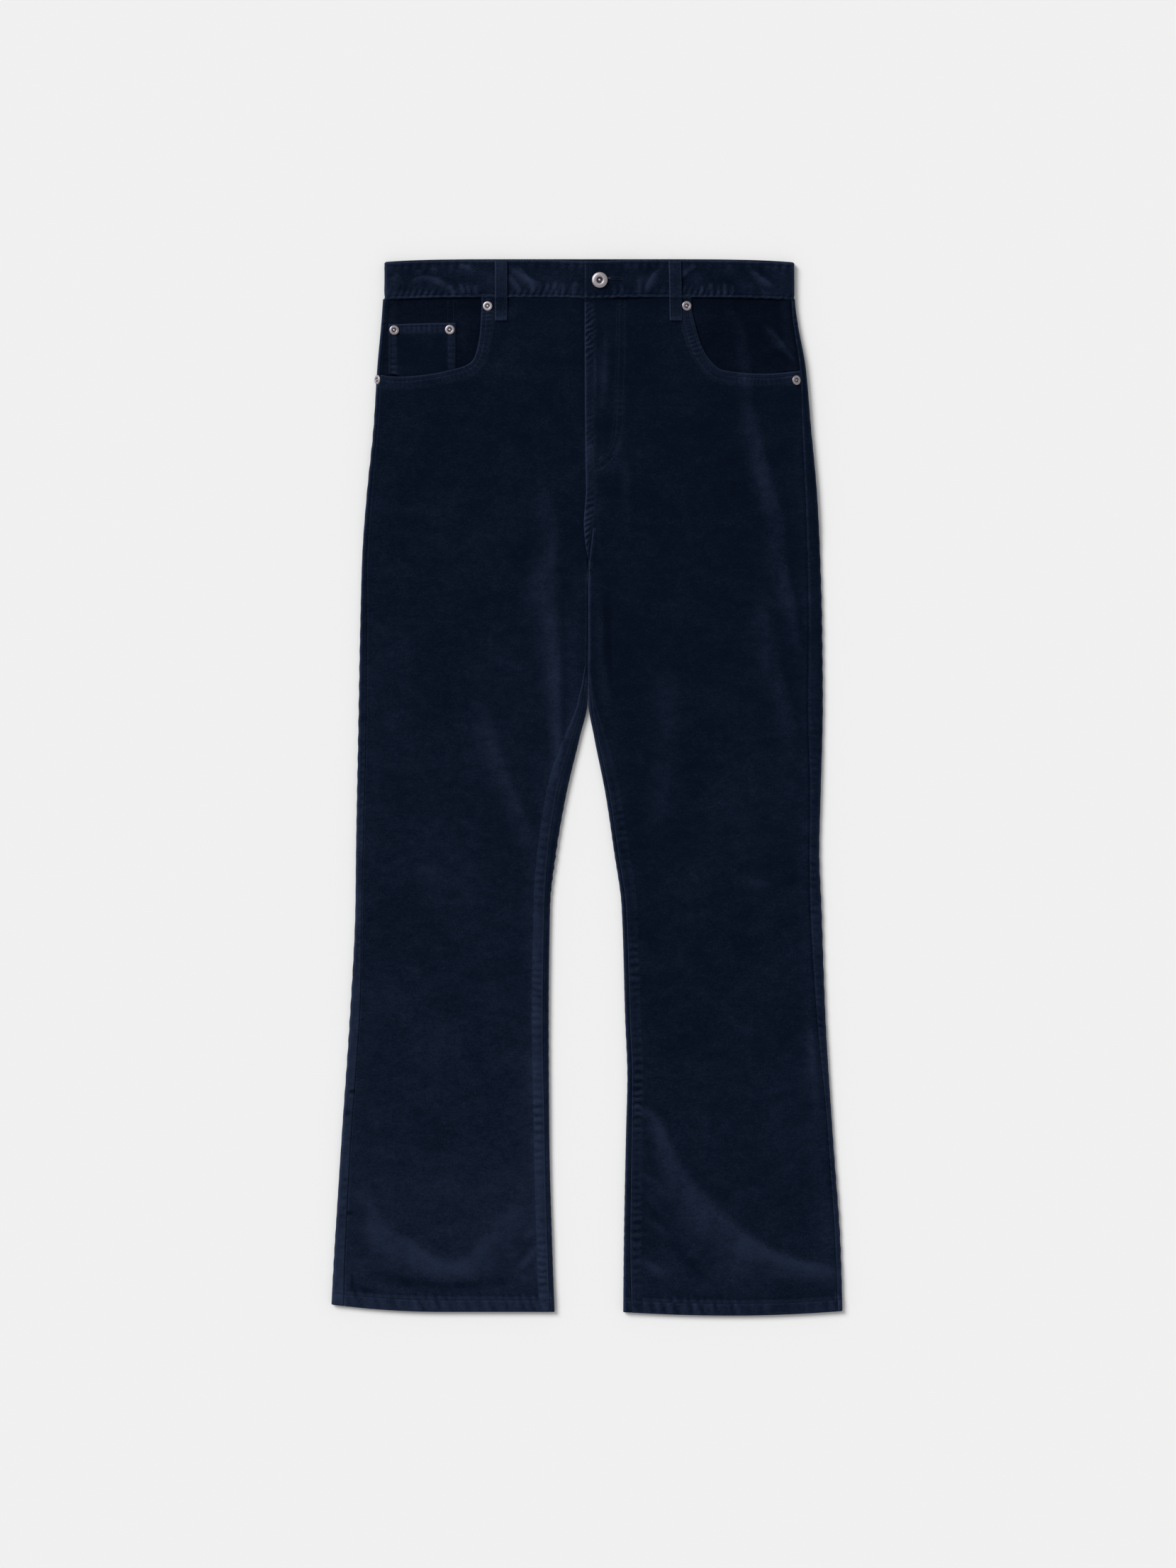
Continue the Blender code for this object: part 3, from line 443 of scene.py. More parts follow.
def lay(leg, across, down):
    """Height of the upper side of the cloth."""
    across, down = np.asarray(across, float), np.asarray(down, float)
    outer = np.maximum(0.0, edge_at(leg.side, down) - FOLD_R - across)
    raised = bell(outer, FOLD_FALL)
    inner = np.maximum(0.0, across - edge_at(leg.inseam, down) - FOLD_R)
    raised_in = bell(inner, FOLD_FALL) * ease(down, CROTCH, CROTCH + 60)
    raised = np.maximum(raised, raised_in) * (FOLD_UP - REST)
    pocket = (1.3 + 1.2 * ease(down, 45, 72)) * fade(down, 145, 232)
    hem = 2.6 * ease(down, HEM - 60, HEM - HEM_TURN - 6)
    bulk = (raised**4 + pocket**4 + hem**4) ** 0.25
    x = leg.sign * across
    soft = 0.32 * swell(x, down, 62, 3) + 0.20 * swell(x + 11, down, 27, 5) + 0.07 * swell(x, down, 11, 9)
    low = fade(down, 1096, 1118)
    return seat_lift(down) + REST + bulk + (crease(x, down, FOLDS) + soft) * low


def under(x, down):
    """Height of the underside."""
    soft = 0.22 * (1 + swell(x, down, 48, 13)) * ease(down, 60, 110) * fade(down, 1090, 1112)
    flat = soft * ease(swell(x, down, 90, 17), -0.3, 0.5)
    return seat_lift(down) + (flat + crease(x, down, FOLDS_UNDER)) * ease(down, CROTCH, CROTCH + 50)


def band_up(x):
    """Height of the waistband's front."""
    x = np.asarray(x, float)
    level = [lay_plain(leg, np.minimum(np.abs(x), 214.0)) for leg in LEGS]
    return np.where(x > 0, level[1], level[0]) + 0.7


def lay_plain(leg, across):
    """The level of the cloth at the waistband's lower edge, with no creases."""
    outer = np.maximum(0.0, edge_at(leg.side, BAND_LOW) - FOLD_R - across)
    raised = (FOLD_UP - REST) * bell(outer, FOLD_FALL)
    return SEAT_LIFT + REST + (raised**4 + 1.3**4) ** 0.25


def place(x, down, up):
    """Places on the cloth as points in metres."""
    x, down, up = np.broadcast_arrays(np.asarray(x, float), down, up)
    across = np.abs(x)
    droop = SIDE_DROOP * (np.minimum(across, 225) / 220) ** 6 * fade(down, 45, 115)
    t = (across - 155) / 119
    drop = np.where(x < 0, LEFT.hem_drop, RIGHT.hem_drop) * (1 - t * t)
    rise = np.where(x < 0, LEFT.hem_rise, RIGHT.hem_rise) * np.maximum(0.0, t) ** 2
    y = TOP_Y - down - droop - (drop - rise) * ease(down, 1000, HEM)
    return np.stack([x, y, up], axis=-1) * MM


FLY_EDGE = (
    (38, -2.6), (147, -2.3), (220, -1.6), (246, -1.1), (264, -2.2), (283, -3.4), (300, -2.2), (322, 1.3),
)


def fly_edge(leg, down):
    """The centre edge of a front above the crotch."""
    if leg is RIGHT:
        return through(FLY_EDGE, down)
    middle = leg.fly_edge - FLY_LAP
    corner = leg.inseam[0][1] + leg.inseam[0][2] + 2 * CLEAR
    return middle + (corner - middle) * ease(down, CROTCH - 24, CROTCH)


def fly_lift(leg, across, down):
    """The right front rises over the left one."""
    near = fade(across, FLY_LAP + 3, FLY_LAP + 38)
    return 0.0 if leg is LEFT else FLY_LIFT * near * fade(down, CROTCH - 26, CROTCH + 14)


def inner_edge(leg, down):
    """The inner edge of a front: the fly above the crotch, the inseam below it."""
    below = edge_at(leg.inseam, down) + seam_at(leg.inseam, down) + CLEAR
    return np.where(down < CROTCH, fly_edge(leg, np.minimum(down, CROTCH)), below)


def outer_edge(leg, down):
    """The side seam's edge of a front."""
    return edge_at(leg.side, down) - seam_at(leg.side, down) - CLEAR


def smooth_line(points, step):
    """A smooth line through points, with a point at about every step."""
    points = np.array(points, float)
    padded = np.concatenate([points[:1] * 2 - points[1:2], points, points[-1:] * 2 - points[-2:-1]])
    t = np.linspace(0, 1, 12, endpoint=False)[:, None]
    line = []
    for p, q, r, s in zip(padded, padded[1:], padded[2:], padded[3:]):
        line.append(0.5 * (2 * q + (r - p) * t
                           + (2 * p - 5 * q + 4 * r - s) * t**2 + (3 * q - p - 3 * r + s) * t**3))
    return even_steps(np.concatenate(line + [points[-1:]]), step)


def even_steps(line, step):
    """The same line with its points an even distance apart."""
    run = run_along(line)
    count = max(2, int(round(run[-1] / step)) + 1)
    at = np.linspace(0, run[-1], count)
    return np.stack([np.interp(at, run, column) for column in line.T], axis=1)


def line_of(x, down):
    """A line of (x, down) points; either of them may be one number."""
    return np.stack(np.broadcast_arrays(np.asarray(x, float), np.asarray(down, float)), axis=1)


def sideways(line):
    """Unit vectors square to a line, to its left as down grows downwards."""
    run = np.gradient(line[:, :2], axis=0)
    run /= np.hypot(run[:, 0], run[:, 1])[:, None]
    return np.stack([run[:, 1], -run[:, 0]], axis=1)


# ---- meshes

def new_grid(us, vs):
    """A flat grid, with the u and v of each of its points."""
    part = bmesh.new()
    bmesh.ops.create_grid(part, x_segments=len(us) - 1, y_segments=len(vs) - 1, size=0.5)
    flat = np.array([vert.co[:] for vert in part.verts])
    i = np.rint((flat[:, 0] + 0.5) * (len(us) - 1)).astype(int)
    j = np.rint((flat[:, 1] + 0.5) * (len(vs) - 1)).astype(int)
    return part, np.asarray(us, float)[i], np.asarray(vs, float)[j]


def set_points(part, points, brushed_and_painted_light):
    """Moves a grid's points, and stores the painted light and shade at each."""
    layer = part.verts.layers.float.new("brushed_and_painted_light")
    for vert, point, value in zip(part.verts, points, brushed_and_painted_light):
        vert.co = point
        vert[layer] = value


def add_grid(bm, us, vs, shape, look_up=True):
    """Adds a grid of cloth to bm: shape(u, v) gives its points in metres, and may also give the painted light
    and shade there."""
    part, u, v = new_grid(us, vs)
    points, brushed_and_painted_light = shape(u, v), np.zeros(len(u))
    if isinstance(points, tuple):
        points, brushed_and_painted_light = points
    set_points(part, points, brushed_and_painted_light)
    part.normal_update()
    highest = max(part.faces, key=lambda face: face.calc_center_median().z * (1 if look_up else -1))
    if (highest.normal.z > 0) != look_up:
        bmesh.ops.reverse_faces(part, faces=part.faces)
    merge_into(bm, part)


def merge_into(bm, part):
    """Moves a part's faces into bm, with its painted light and shade."""
    if not bm.verts.layers.float.get("brushed_and_painted_light"):
        bm.verts.layers.float.new("brushed_and_painted_light")
    mesh = bpy.data.meshes.new("part")
    part.to_mesh(mesh)
    part.free()
    bm.from_mesh(mesh)
    bpy.data.meshes.remove(mesh)


def store_nap_and_painted_light(mesh):
    """Stores the velvet's tone together with painted light and shade: painted sheen on slopes and along the
    creases, painted light on the sides that face the lamp, painted shade under the waistband and beside the
    fly, and a paler tone lower on the legs.
    """
    places, normals = np.empty(len(mesh.vertices) * 3), np.empty(len(mesh.vertices) * 3)
    mesh.vertices.foreach_get("co", places)
    mesh.vertex_normals.foreach_get("vector", normals)
    places, normals = places.reshape(-1, 3) / MM, normals.reshape(-1, 3)
    x, down = places[:, 0], TOP_Y - places[:, 1]
    slope = np.sqrt(np.clip(1 - normals[:, 2] ** 2, 0, 1))
    lit = np.clip(0.7 * normals[:, 1] - 0.5 * normals[:, 0], -0.6, 0.6)
    left, top = x < 0, normals[:, 2] > 0
    # paler down the legs; on the left leg, the lamp's side, also painted light, with the right leg a little
    # darker
    nap = 0.30 + 0.06 * ease(down, 300, 650) + 0.05 * ease(down, 650, 1130) - 0.03 * (x > 0)
    nap = nap + (0.02 * ease(down, 300, 500) + 0.045 * ease(down, 700, 1000)) * left - 0.015 * (x > 0)
    # painted highlights along the crests of the creases, the waistband's too, broken up by the strands of the
    # nap
    streak = np.where(top, crease(x, down, FOLDS, 4.0, 0.84), crease(x, down, FOLDS_UNDER, 4.0, 0.84))
    streak = np.where(down < BAND_LOW - 0.5, crease(x, down, BAND_FOLDS, 2.0) * 0.55, streak)
    strands = 0.92 + 0.3 * swell(4 * x + 0.6 * down, down, 34, 41) + 0.2 * swell(x, 1.6 * down, 15, 42)
    nap = nap + 0.10 * streak * np.clip(strands, 0.3, 1.5)
    # the waistband a little paler, most of all towards its ends
    ends = ease(np.abs(x), 190, 222)
    nap = nap + (0.05 + 0.10 * ends) * (down < BAND_LOW + 0.5)
    # blotches of three sizes
    nap = nap + 0.045 * swell(x, down, 52, 45) + 0.03 * swell(x, 1.8 * down, 24, 47)
    nap = nap + 0.02 * swell(x, 2.6 * down, 12, 49)
    # painted shade just below the waistband's lower edge and beside the fly's lapped edge
    nap = nap - shaded(x, down) * top
    # a pale line along the right hip's seam, and the seams of the legs
    hip_seam = bell(x - outer_edge(RIGHT, down) - 0.6, 1.3) * (x > 0) * (down > BAND_LOW + 4)
    nap = nap + 0.26 * hip_seam * (0.75 + 0.35 * waves(down, 4.3, 6.1)) * fade(down, 330, 430) * top
    seam_paler = sum(seam_nap(leg, x, down) for leg in LEGS) * ease(down, 380, 760)
    nap = nap + seam_paler * (0.8 + 0.35 * swell(2 * x, down, 11, 43))
    # painted sheen on every slope, and painted light on the slopes that face the lamp
    nap = nap + 0.85 * slope**1.25 + 0.14 * lit
    # the painted light and shade that each piece stored from its own relief
    brushed_and_painted_light = np.zeros(len(x), np.float32)
    if "brushed_and_painted_light" in mesh.attributes:
        mesh.attributes["brushed_and_painted_light"].data.foreach_get("value", brushed_and_painted_light)
    nap = np.clip(nap + brushed_and_painted_light, 0, 1).astype(np.float32)
    mesh.attributes.new("nap", "FLOAT", "POINT").data.foreach_set("value", nap)


def shaded(x, down):
    """Painted shade just below the waistband's lower edge and beside the fly's lapped edge."""
    below = down - BAND_LOW
    under_band = (0.16 * bell(below, 3.0) + 0.05 * fade(below, 0, 26)) * (below > 0)
    lap = fly_edge(RIGHT, np.minimum(down, CROTCH)) - x
    beside = (0.20 * bell(lap, 1.5) + 0.05 * bell(lap, 22)) * (lap > 0.1)
    return under_band + beside * (down > BAND_LOW) * fade(down, CROTCH - 20, CROTCH)


def seam_nap(leg, x, down):
    """The cloth is paler beside the legs' seams, most of all at the left inseam, and darker on the back
    panel's strip past that inseam.
    """
    across = leg.sign * x
    outer = ease(across - outer_edge(leg, down), -0.4, 1.0)
    inner = across - inner_edge(leg, down)
    strip = ease(inner, -0.2, 0.8) * fade(inner + 1.8 * swell(down, 0 * down, 9, 57), 6.0, 16.5)
    seam_paler = (0.32, 0.05 + 0.15 * ease(down, 540, 760)) if leg is LEFT else (0.15, -0.02)
    behind = -0.10 * (leg is LEFT) * fade(inner, -0.7, -0.1)
    return (across > 0) * (down > CROTCH) * (seam_paler[0] * outer + seam_paler[1] * strip + behind)


def finish_piece(name, bm, material, slot, wall=SHELL, replaces=()):
    """Makes the object of a finished piece, rides it on the frame and hides the parts of the frame that it
    stands for.
    """
    mesh = bpy.data.meshes.new(name)
    bm.to_mesh(mesh)
    bm.free()
    mesh.shade_smooth()
    mesh.materials.append(material)
    if slot == "velvet":
        store_nap_and_painted_light(mesh)
    piece = bpy.data.objects.new(name, mesh)
    bpy.context.scene.collection.objects.link(piece)
    if wall:
        shell = piece.modifiers.new("wall", "SOLIDIFY")
        shell.thickness = wall * MM
        shell.offset = -1
    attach(piece, "root")
    if replaces:
        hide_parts(*replaces)
    return piece


def finish_cloth(name, bm, replaced, wall=SHELL, cloth="Velvet"):
    """The object of a finished piece of velvet that stands for one of the frame's solids."""
    return finish_piece(name, bm, velvet(cloth), "velvet", wall, (replaced,))


def add_welt(bm, line, profile, base, spacing, depth, seed, slope=0.0, turn=1, taper=6.0,
             strength=None, narrow=None):
    """Adds a sewn edge along a line of (x, down) points: its profile stands on the panel's base,
    offset to the line's left, or right where turn is -1, with puckers along it. It sinks into the
    panel over the taper at both ends."""
    side = sideways(line) * turn
    along = run_along(line)
    table = np.array(profile, float)

    def shape(u, v):
        i, k = u.astype(int), v.astype(int)
        offset, rise, share = table[k].T
        if narrow:
            offset = offset * narrow(line[i, 1])
        x = line[i, 0] + side[i, 0] * offset
        down = line[i, 1] + side[i, 1] * offset
        ends = ease(along[i], 0, taper) * ease(along[-1] - along[i], 0, taper)
        wander = 1.6 * swell(x, down, 6, seed + 9)
        pucker = depth * share * waves(along[i] + slope * offset + wander, spacing, seed)
        if strength:
            pucker = pucker * strength(down)
        height = (rise + pucker) * ends - 0.6 * (1 - ends)
        # painted highlights on the raised rows and the puckers' crests, painted shade in their grooves
        brushed_and_painted_light = (0.15 * np.maximum(rise - 0.25, -0.15) + 0.55 * pucker) * ends
        return place(x, down, base(x, down) + height), brushed_and_painted_light

    add_grid(bm, np.arange(len(line)), np.arange(len(table)), shape)


# ---- materials

def socket(group, name, kind, way, default=None):
    """Adds a socket to a node group."""
    made = group.interface.new_socket(name=name, in_out=way, socket_type=kind)
    if default is not None:
        made.default_value = default
    return made


def adjust(made, **values):
    """Sets a node's own values, or those of its inputs: Base_Color stands for the Base Color input."""
    for key, value in values.items():
        if hasattr(made, key):
            setattr(made, key, value)
        else:
            made.inputs[key.replace("_", " ")].default_value = value
    return made


def node(tree, kind, **values):
    return adjust(tree.nodes.new(kind), **values)


def new_material(name):
    """A material, its node tree, its shader and the coordinates of the object."""
    made = bpy.data.materials.new(name)
    made.use_nodes = True
    tree = made.node_tree
    return made, tree, tree.nodes["Principled BSDF"], node(tree, "ShaderNodeTexCoord").outputs["Object"]


def ramp(tree, share, stops):
    """The colour at a share of the way through (place, colour) stops."""
    made = node(tree, "ShaderNodeValToRGB")
    elements = made.color_ramp.elements
    while len(elements) < len(stops):
        elements.new(0.5)
    for element, (position, colour) in zip(elements, stops):
        element.position = position
        element.color = (*colour, 1)
    tree.links.new(share, made.inputs["Fac"])
    return made.outputs["Color"]


def rough_by(tree, shader, value, smooth, rough):
    """Makes a shader rougher or smoother along a value."""
    made = node(tree, "ShaderNodeMapRange", To_Min=rough, To_Max=smooth)
    tree.links.new(value, made.inputs["Value"])
    tree.links.new(made.outputs["Result"], shader.inputs["Roughness"])


def scaled(colour, factor):
    return [value * factor for value in colour]


def nap_group():
    """The nap of velvet: soft brushed patches, a mottle, a fine grain and a faint twill."""
    group = bpy.data.node_groups.get("Velvet nap")
    if group:
        return group
    group = bpy.data.node_groups.new("Velvet nap", "ShaderNodeTree")
    socket(group, "Vector", "NodeSocketVector", "INPUT")
    socket(group, "Nap", "NodeSocketFloat", "INPUT", 0.35)
    socket(group, "Patches", "NodeSocketFloat", "INPUT", 0.5)
    socket(group, "Grain", "NodeSocketFloat", "INPUT", 0.5)
    socket(group, "Shade", "NodeSocketFloat", "OUTPUT")
    socket(group, "Height", "NodeSocketFloat", "OUTPUT")
    start = group.nodes.new("NodeGroupInput")
    end = group.nodes.new("NodeGroupOutput")
    link = group.links.new

    def noise(scale, detail, distortion=0.0):
        sized = node(group, "ShaderNodeMapping", Scale=scale)
        made = node(group, "ShaderNodeTexNoise", Scale=1.0, Detail=detail, Roughness=0.6,
                    Distortion=distortion)
        link(start.outputs["Vector"], sized.inputs["Vector"])
        link(sized.outputs[0], made.inputs["Vector"])
        return made.outputs["Fac"]

    def maths(kind, a, b):
        made = node(group, "ShaderNodeMath", operation=kind)
        for term, value in zip(made.inputs, (a, b)):
            if isinstance(value, float):
                term.default_value = value
            else:
                link(value, term)
        return made.outputs[0]

    brushed_and_painted_light = noise((84.0, 110.0, 60.0), 2.0, 0.4)
    patches = noise((20.0, 28.0, 24.0), 2.0, 0.4)
    mottle = noise((270.0, 520.0, 120.0), 2.0)
    grain = noise((760.0, 1350.0, 500.0), 2.0)
    lean = node(group, "ShaderNodeMapping", Scale=(1.0, 1.15, 0.3))
    link(start.outputs["Vector"], lean.inputs["Vector"])
    twill = node(group, "ShaderNodeTexWave", wave_type="BANDS", bands_direction="DIAGONAL", Scale=262.0,
                 Distortion=2.6, Detail=1.0, Detail_Scale=1.4)
    link(lean.outputs[0], twill.inputs["Vector"])

    broad = maths("ADD", maths("MULTIPLY", patches, 0.45), maths("MULTIPLY", brushed_and_painted_light, 0.55))
    broad = maths("MULTIPLY", maths("SUBTRACT", broad, 0.5), start.outputs["Patches"])
    fine = maths("ADD", maths("MULTIPLY", mottle, 0.30), maths("MULTIPLY", grain, 0.68))
    fine = maths("ADD", fine, maths("MULTIPLY", twill.outputs["Fac"], 0.05))
    fine = maths("MULTIPLY", maths("SUBTRACT", fine, 0.5), start.outputs["Grain"])
    shade = maths("ADD", maths("ADD", broad, fine), start.outputs["Nap"])
    height = maths("ADD", maths("MULTIPLY", grain, 0.6), maths("MULTIPLY", twill.outputs["Fac"], 0.15))
    link(shade, end.inputs["Shade"])
    link(height, end.inputs["Height"])
    return group


# The darker copy of the velvet for the pocket facings and the turned-up hems is painted shade; the
# waistband's copy is a touch paler.
TONES = {"Velvet": 1.0, "Velvet facing in painted shade": 0.73, "Velvet band": 1.02}


def velvet(name):
    """Short-pile velvet: its colour runs from dark to pale along the stored tone of the nap and its painted
    light and shade.
    """
    made = bpy.data.materials.get(name)
    if made:
        return made
    cloth = bpy.context.scene.jeans_cloth
    made, tree, shader, coords = new_material(name)
    link = tree.links.new
    nap = node(tree, "ShaderNodeGroup", node_tree=nap_group(), Patches=0.44, Grain=1.08)
    link(coords, nap.inputs["Vector"])
    link(node(tree, "ShaderNodeAttribute", attribute_name="nap").outputs["Fac"], nap.inputs["Nap"])
    # the ramp follows nap, the nap's stored tone with painted light and shade
    stops = [(0, cloth.dark), (0.35, cloth.middle), (1, cloth.light)]
    stops = [(at, scaled(colour, TONES[name])) for at, colour in stops]
    link(ramp(tree, nap.outputs["Shade"], stops), shader.inputs["Base Color"])
    rough_by(tree, shader, nap.outputs["Shade"], 0.80, 0.95)
    bump = node(tree, "ShaderNodeBump", Strength=0.5, Distance=cloth.grain)
    link(nap.outputs["Height"], bump.inputs["Height"])
    link(bump.outputs["Normal"], shader.inputs["Normal"])
    adjust(shader, Specular_IOR_Level=0.02, Sheen_Weight=cloth.sheen, Sheen_Roughness=0.42,
           Sheen_Tint=(0.34, 0.52, 0.90, 1))
    return made


def thread_material(name, colour):
    """Plain thread, a little uneven in its dye."""
    made = bpy.data.materials.get(name)
    if made:
        return made
    made, tree, shader, coords = new_material(name)
    noise = node(tree, "ShaderNodeTexNoise", Scale=420.0, Detail=1.0)
    tree.links.new(coords, noise.inputs["Vector"])
    dye = ramp(tree, noise.outputs["Fac"], [(0, scaled(colour, 0.75)), (1, scaled(colour, 1.25))])
    tree.links.new(dye, shader.inputs["Base Color"])
    adjust(shader, Roughness=0.7, Specular_IOR_Level=0.08)
    return made


def metal_material():
    """Pale nickel, a little worn, with tarnish in its dishes."""
    made = bpy.data.materials.get("Pale nickel")
    if made:
        return made
    metal = bpy.context.scene.jeans_metal
    made, tree, shader, coords = new_material("Pale nickel")
    link = tree.links.new
    noise = node(tree, "ShaderNodeTexNoise", Scale=900.0, Detail=3.0)
    link(coords, noise.inputs["Vector"])
    shade = node(tree, "ShaderNodeMix", data_type="RGBA")
    link(node(tree, "ShaderNodeAttribute", attribute_name="tarnish").outputs["Fac"], shade.inputs["Factor"])
    bare, dull = shade.inputs[6:8]
    link(ramp(tree, noise.outputs["Fac"], [(0.3, scaled(metal.colour, 0.78)), (0.7, metal.colour)]), bare)
    dull.default_value = (0.035, 0.035, 0.055, 1)
    link(shade.outputs[2], shader.inputs["Base Color"])
    rough_by(tree, shader, noise.outputs["Fac"], metal.roughness - 0.06, metal.roughness + 0.08)
    adjust(shader, Metallic=1.0)
    return made


# ---- panels

def spread(start, end, count):
    return np.linspace(start, end, count + 1)


def spaced(stops, counts):
    """Rows or columns from stop to stop, with that many steps between each two."""
    parts = [spread(*part) for part in zip(stops, stops[1:], counts)]
    return np.concatenate(parts[:1] + [part[1:] for part in parts[1:]])


def leg_roll(leg, across, down):
    """Just below the crotch the right front rolls over its own edge, and the left one slips under it."""
    here = ease(down, CROTCH - 4, CROTCH + 10) * fade(down, 428, 462)
    inside = np.clip((across - edge_at(leg.inseam, np.maximum(down, CROTCH))) / FOLD_R, 0, 1)
    if leg is LEFT:
        return 0.9 * (1 - inside) * here
    return 2.9 * (1 - np.sqrt(np.clip(1 - (1 - inside) ** 2, 0, 1))) * here


def hem_painted_light(x, down):
    """Painted light on the hem's puckers below its stitching, with painted shade in a line above the hem and
    over the turned-up band.
    """
    above = HEM - down
    lit = 0.42 * hem_shape(x, down) - 0.14 * bell(above - HEM_TURN - 2, 2.0)
    pleats = 0.19 * waves(x + 0.25 * above, 15.0, 4.4) * (0.7 + 0.5 * swell(x, above, 16, 59))
    pleats = pleats * (above < HEM_TURN - 1)
    return (lit + pleats - 0.10 * (above < HEM_TURN)) * ease(above, -1, 1.5) * (above < HEM_TURN + 12)


def mound(leg, across, down):
    """The cloth swells under the rivet at the right scoop's end."""
    if leg is LEFT:
        return 0.0
    return 1.6 * np.exp(-(((across - 220.0) / 5.5) ** 2) - ((down - 130.0) / 7.5) ** 2)


def front_up(leg, across, down):
    """Height of a front panel: it dips at its seams and under the waistband."""
    up = lay(leg, across, down) + fly_lift(leg, across, down) + mound(leg, across, down)
    side = np.maximum(0.0, outer_edge(leg, down) - across)
    up = up - 0.5 * bell(side, 0.9)
    inside = np.maximum(0.0, across - inner_edge(leg, down))
    up = up - 0.5 * bell(inside, 0.9) - leg_roll(leg, across, down)
    up = up - 1.6 * fade(down, *TUCK)
    return up + hem_shape(leg.sign * across, down)


def hem_shape(x, down):
    """The turned-up hem seen through the panel: a soft band with puckers above a stitched groove."""
    above = HEM - down
    band = 0.6 * fade(above, HEM_TURN, HEM_TURN + 4) - 0.6 * bell(above - HEM_TURN + 1, 0.9)
    roll = -1.1 * fade(above, -0.1, 1.8) ** 1.5
    window = ease(above, 1.5, 5) * fade(above, HEM_TURN + 1, HEM_TURN + 9)
    return band + roll + 0.50 * window * waves(x + 0.35 * above, 9.6, 2.2) * (0.6 + 0.5 * swell(x, 0, 40, 51))


def scoop_line(leg, step=1.2):
    """The scoop's edge as (x, down), from the waistband to the side seam."""
    line = smooth_line(leg.scoop, step)
    line[:, 0] *= leg.sign
    return line


def inside_scoop(leg, x, down):
    """True for the places that the scoop cuts away."""
    line = scoop_line(leg, 2.0)
    far = leg.sign * 300.0
    ring = np.concatenate([line, [[far, line[-1, 1]], [far, 0.0], [line[0, 0], 0.0]]])
    a, b = ring, np.roll(ring, -1, axis=0)
    crossing = (a[:, 1] > down[:, None]) != (b[:, 1] > down[:, None])
    rise = np.where(b[:, 1] == a[:, 1], 1.0, b[:, 1] - a[:, 1])
    at = a[:, 0] + (down[:, None] - a[:, 1]) * (b[:, 0] - a[:, 0]) / rise
    return (crossing & (x[:, None] < at)).sum(1) % 2 == 1


# A front's rows, closer together at the hem, and its columns as shares of its width, closer at its seams
FRONT_ROWS = spaced((PANEL_TOP, CROTCH, HEM_ROWS, HEM), (92, 230, 20))
FRONT_COLUMNS = spaced((0, 0.02, 0.97, 1), (4, 58, 5))


def add_front_panel(bm, leg):
    """The panel itself, its edge at the scoop drawn onto the scoop's line."""
    part, share, down = new_grid(FRONT_COLUMNS, FRONT_ROWS)
    across = outer_edge(leg, down) + (inner_edge(leg, down) - outer_edge(leg, down)) * share
    near = down < FACING_LOW - 1
    cut = np.zeros(len(down), bool)
    x = leg.sign * across
    cut[near] = inside_scoop(leg, x[near], down[near])
    line = scoop_line(leg, 0.6)
    doomed, moved = [], set()
    for face in part.faces:
        inside = [cut[vert.index] for vert in face.verts]
        if all(inside):
            doomed.append(face)
        elif any(inside):
            moved.update(vert.index for vert in face.verts if cut[vert.index])
    for i in moved:
        nearest = np.argmin((line[:, 0] - x[i]) ** 2 + (line[:, 1] - down[i]) ** 2)
        x[i], down[i] = line[nearest]
    set_points(part, place(x, down, front_up(leg, leg.sign * x, down)), hem_painted_light(x, down))
    bmesh.ops.delete(part, geom=doomed, context="FACES")
    bmesh.ops.dissolve_degenerate(part, dist=1e-6, edges=part.edges)
    part.normal_update()
    if sum(face.normal.z for face in part.faces) < 0:
        bmesh.ops.reverse_faces(part, faces=part.faces)
    merge_into(bm, part)


def inseam_line(leg, start=INSEAM_TOP):
    """The front's edge along the inseam as (x, down)."""
    down = even_steps(np.array([[0.0, start], [0.0, HEM - 1.5]]), 1.6)[:, 1]
    return line_of(leg.sign * inner_edge(leg, down), down)


def inseam_puckers(down):
    """The inseam's puckers grow towards the hem."""
    return ease(down, 450, 620) * (1.1 + 0.8 * ease(down, 700, 860) + 0.4 * swell(down, 0 * down, 40, 3))


def fly_line():
    """The fly's lapped edge as (x, down)."""
    down = np.linspace(43.5, CROTCH - 2, 210)
    return line_of(fly_edge(RIGHT, down), down)


FLY_CURVE = (
    (35.0, 43.0), (34.4, 90.0), (32.8, 150.0), (31.5, 178.0), (27.0, 200.0), (17.0, 215.0), (4.0, 222.5),
)


def fly_curve():
    """The stitching that shapes the fly, down from the waistband and round to its edge."""
    return smooth_line(FLY_CURVE, 1.5)


def fly_puckers(down):
    """The fly's edge puckers most under the waistband and below the bar tack."""
    return 0.55 + 1.05 * ease(down, 46, 58) * fade(down, 88, 125) + 1.0 * ease(down, 232, 246)


def add_fly(bm):
    """The fly's sewn edge, its stitched curve and the rim of the crotch."""
    base = panel_base(RIGHT)
    add_welt(bm, fly_line(), FLY_WELT, base, spacing=6.2, depth=0.46, seed=1.3, slope=0.75,
             strength=fly_puckers, narrow=lambda down: 1 - 0.86 * ease(down, CROTCH - 56, CROTCH))
    add_welt(bm, fly_curve(), LINES_WELT, base, spacing=5.6, depth=0.20, seed=4.6,
             strength=lambda down: ease(down, 60, 200))
    rim = smooth_line(((6.4, 285), (5.4, 297), (3.9, 310), (2.6, 322), (2.2, 334)), 1.5)
    add_welt(bm, rim, RIM_WELT, base, spacing=9.0, depth=0.08, seed=3.3)


def panel_base(leg):
    """Height of a front panel at (x, down), for what lies on it."""
    def base(x, down):
        across = leg.sign * x
        up = lay(leg, across, down) + fly_lift(leg, across, down) + mound(leg, across, down)
        return up + hem_shape(x, down)
    return base


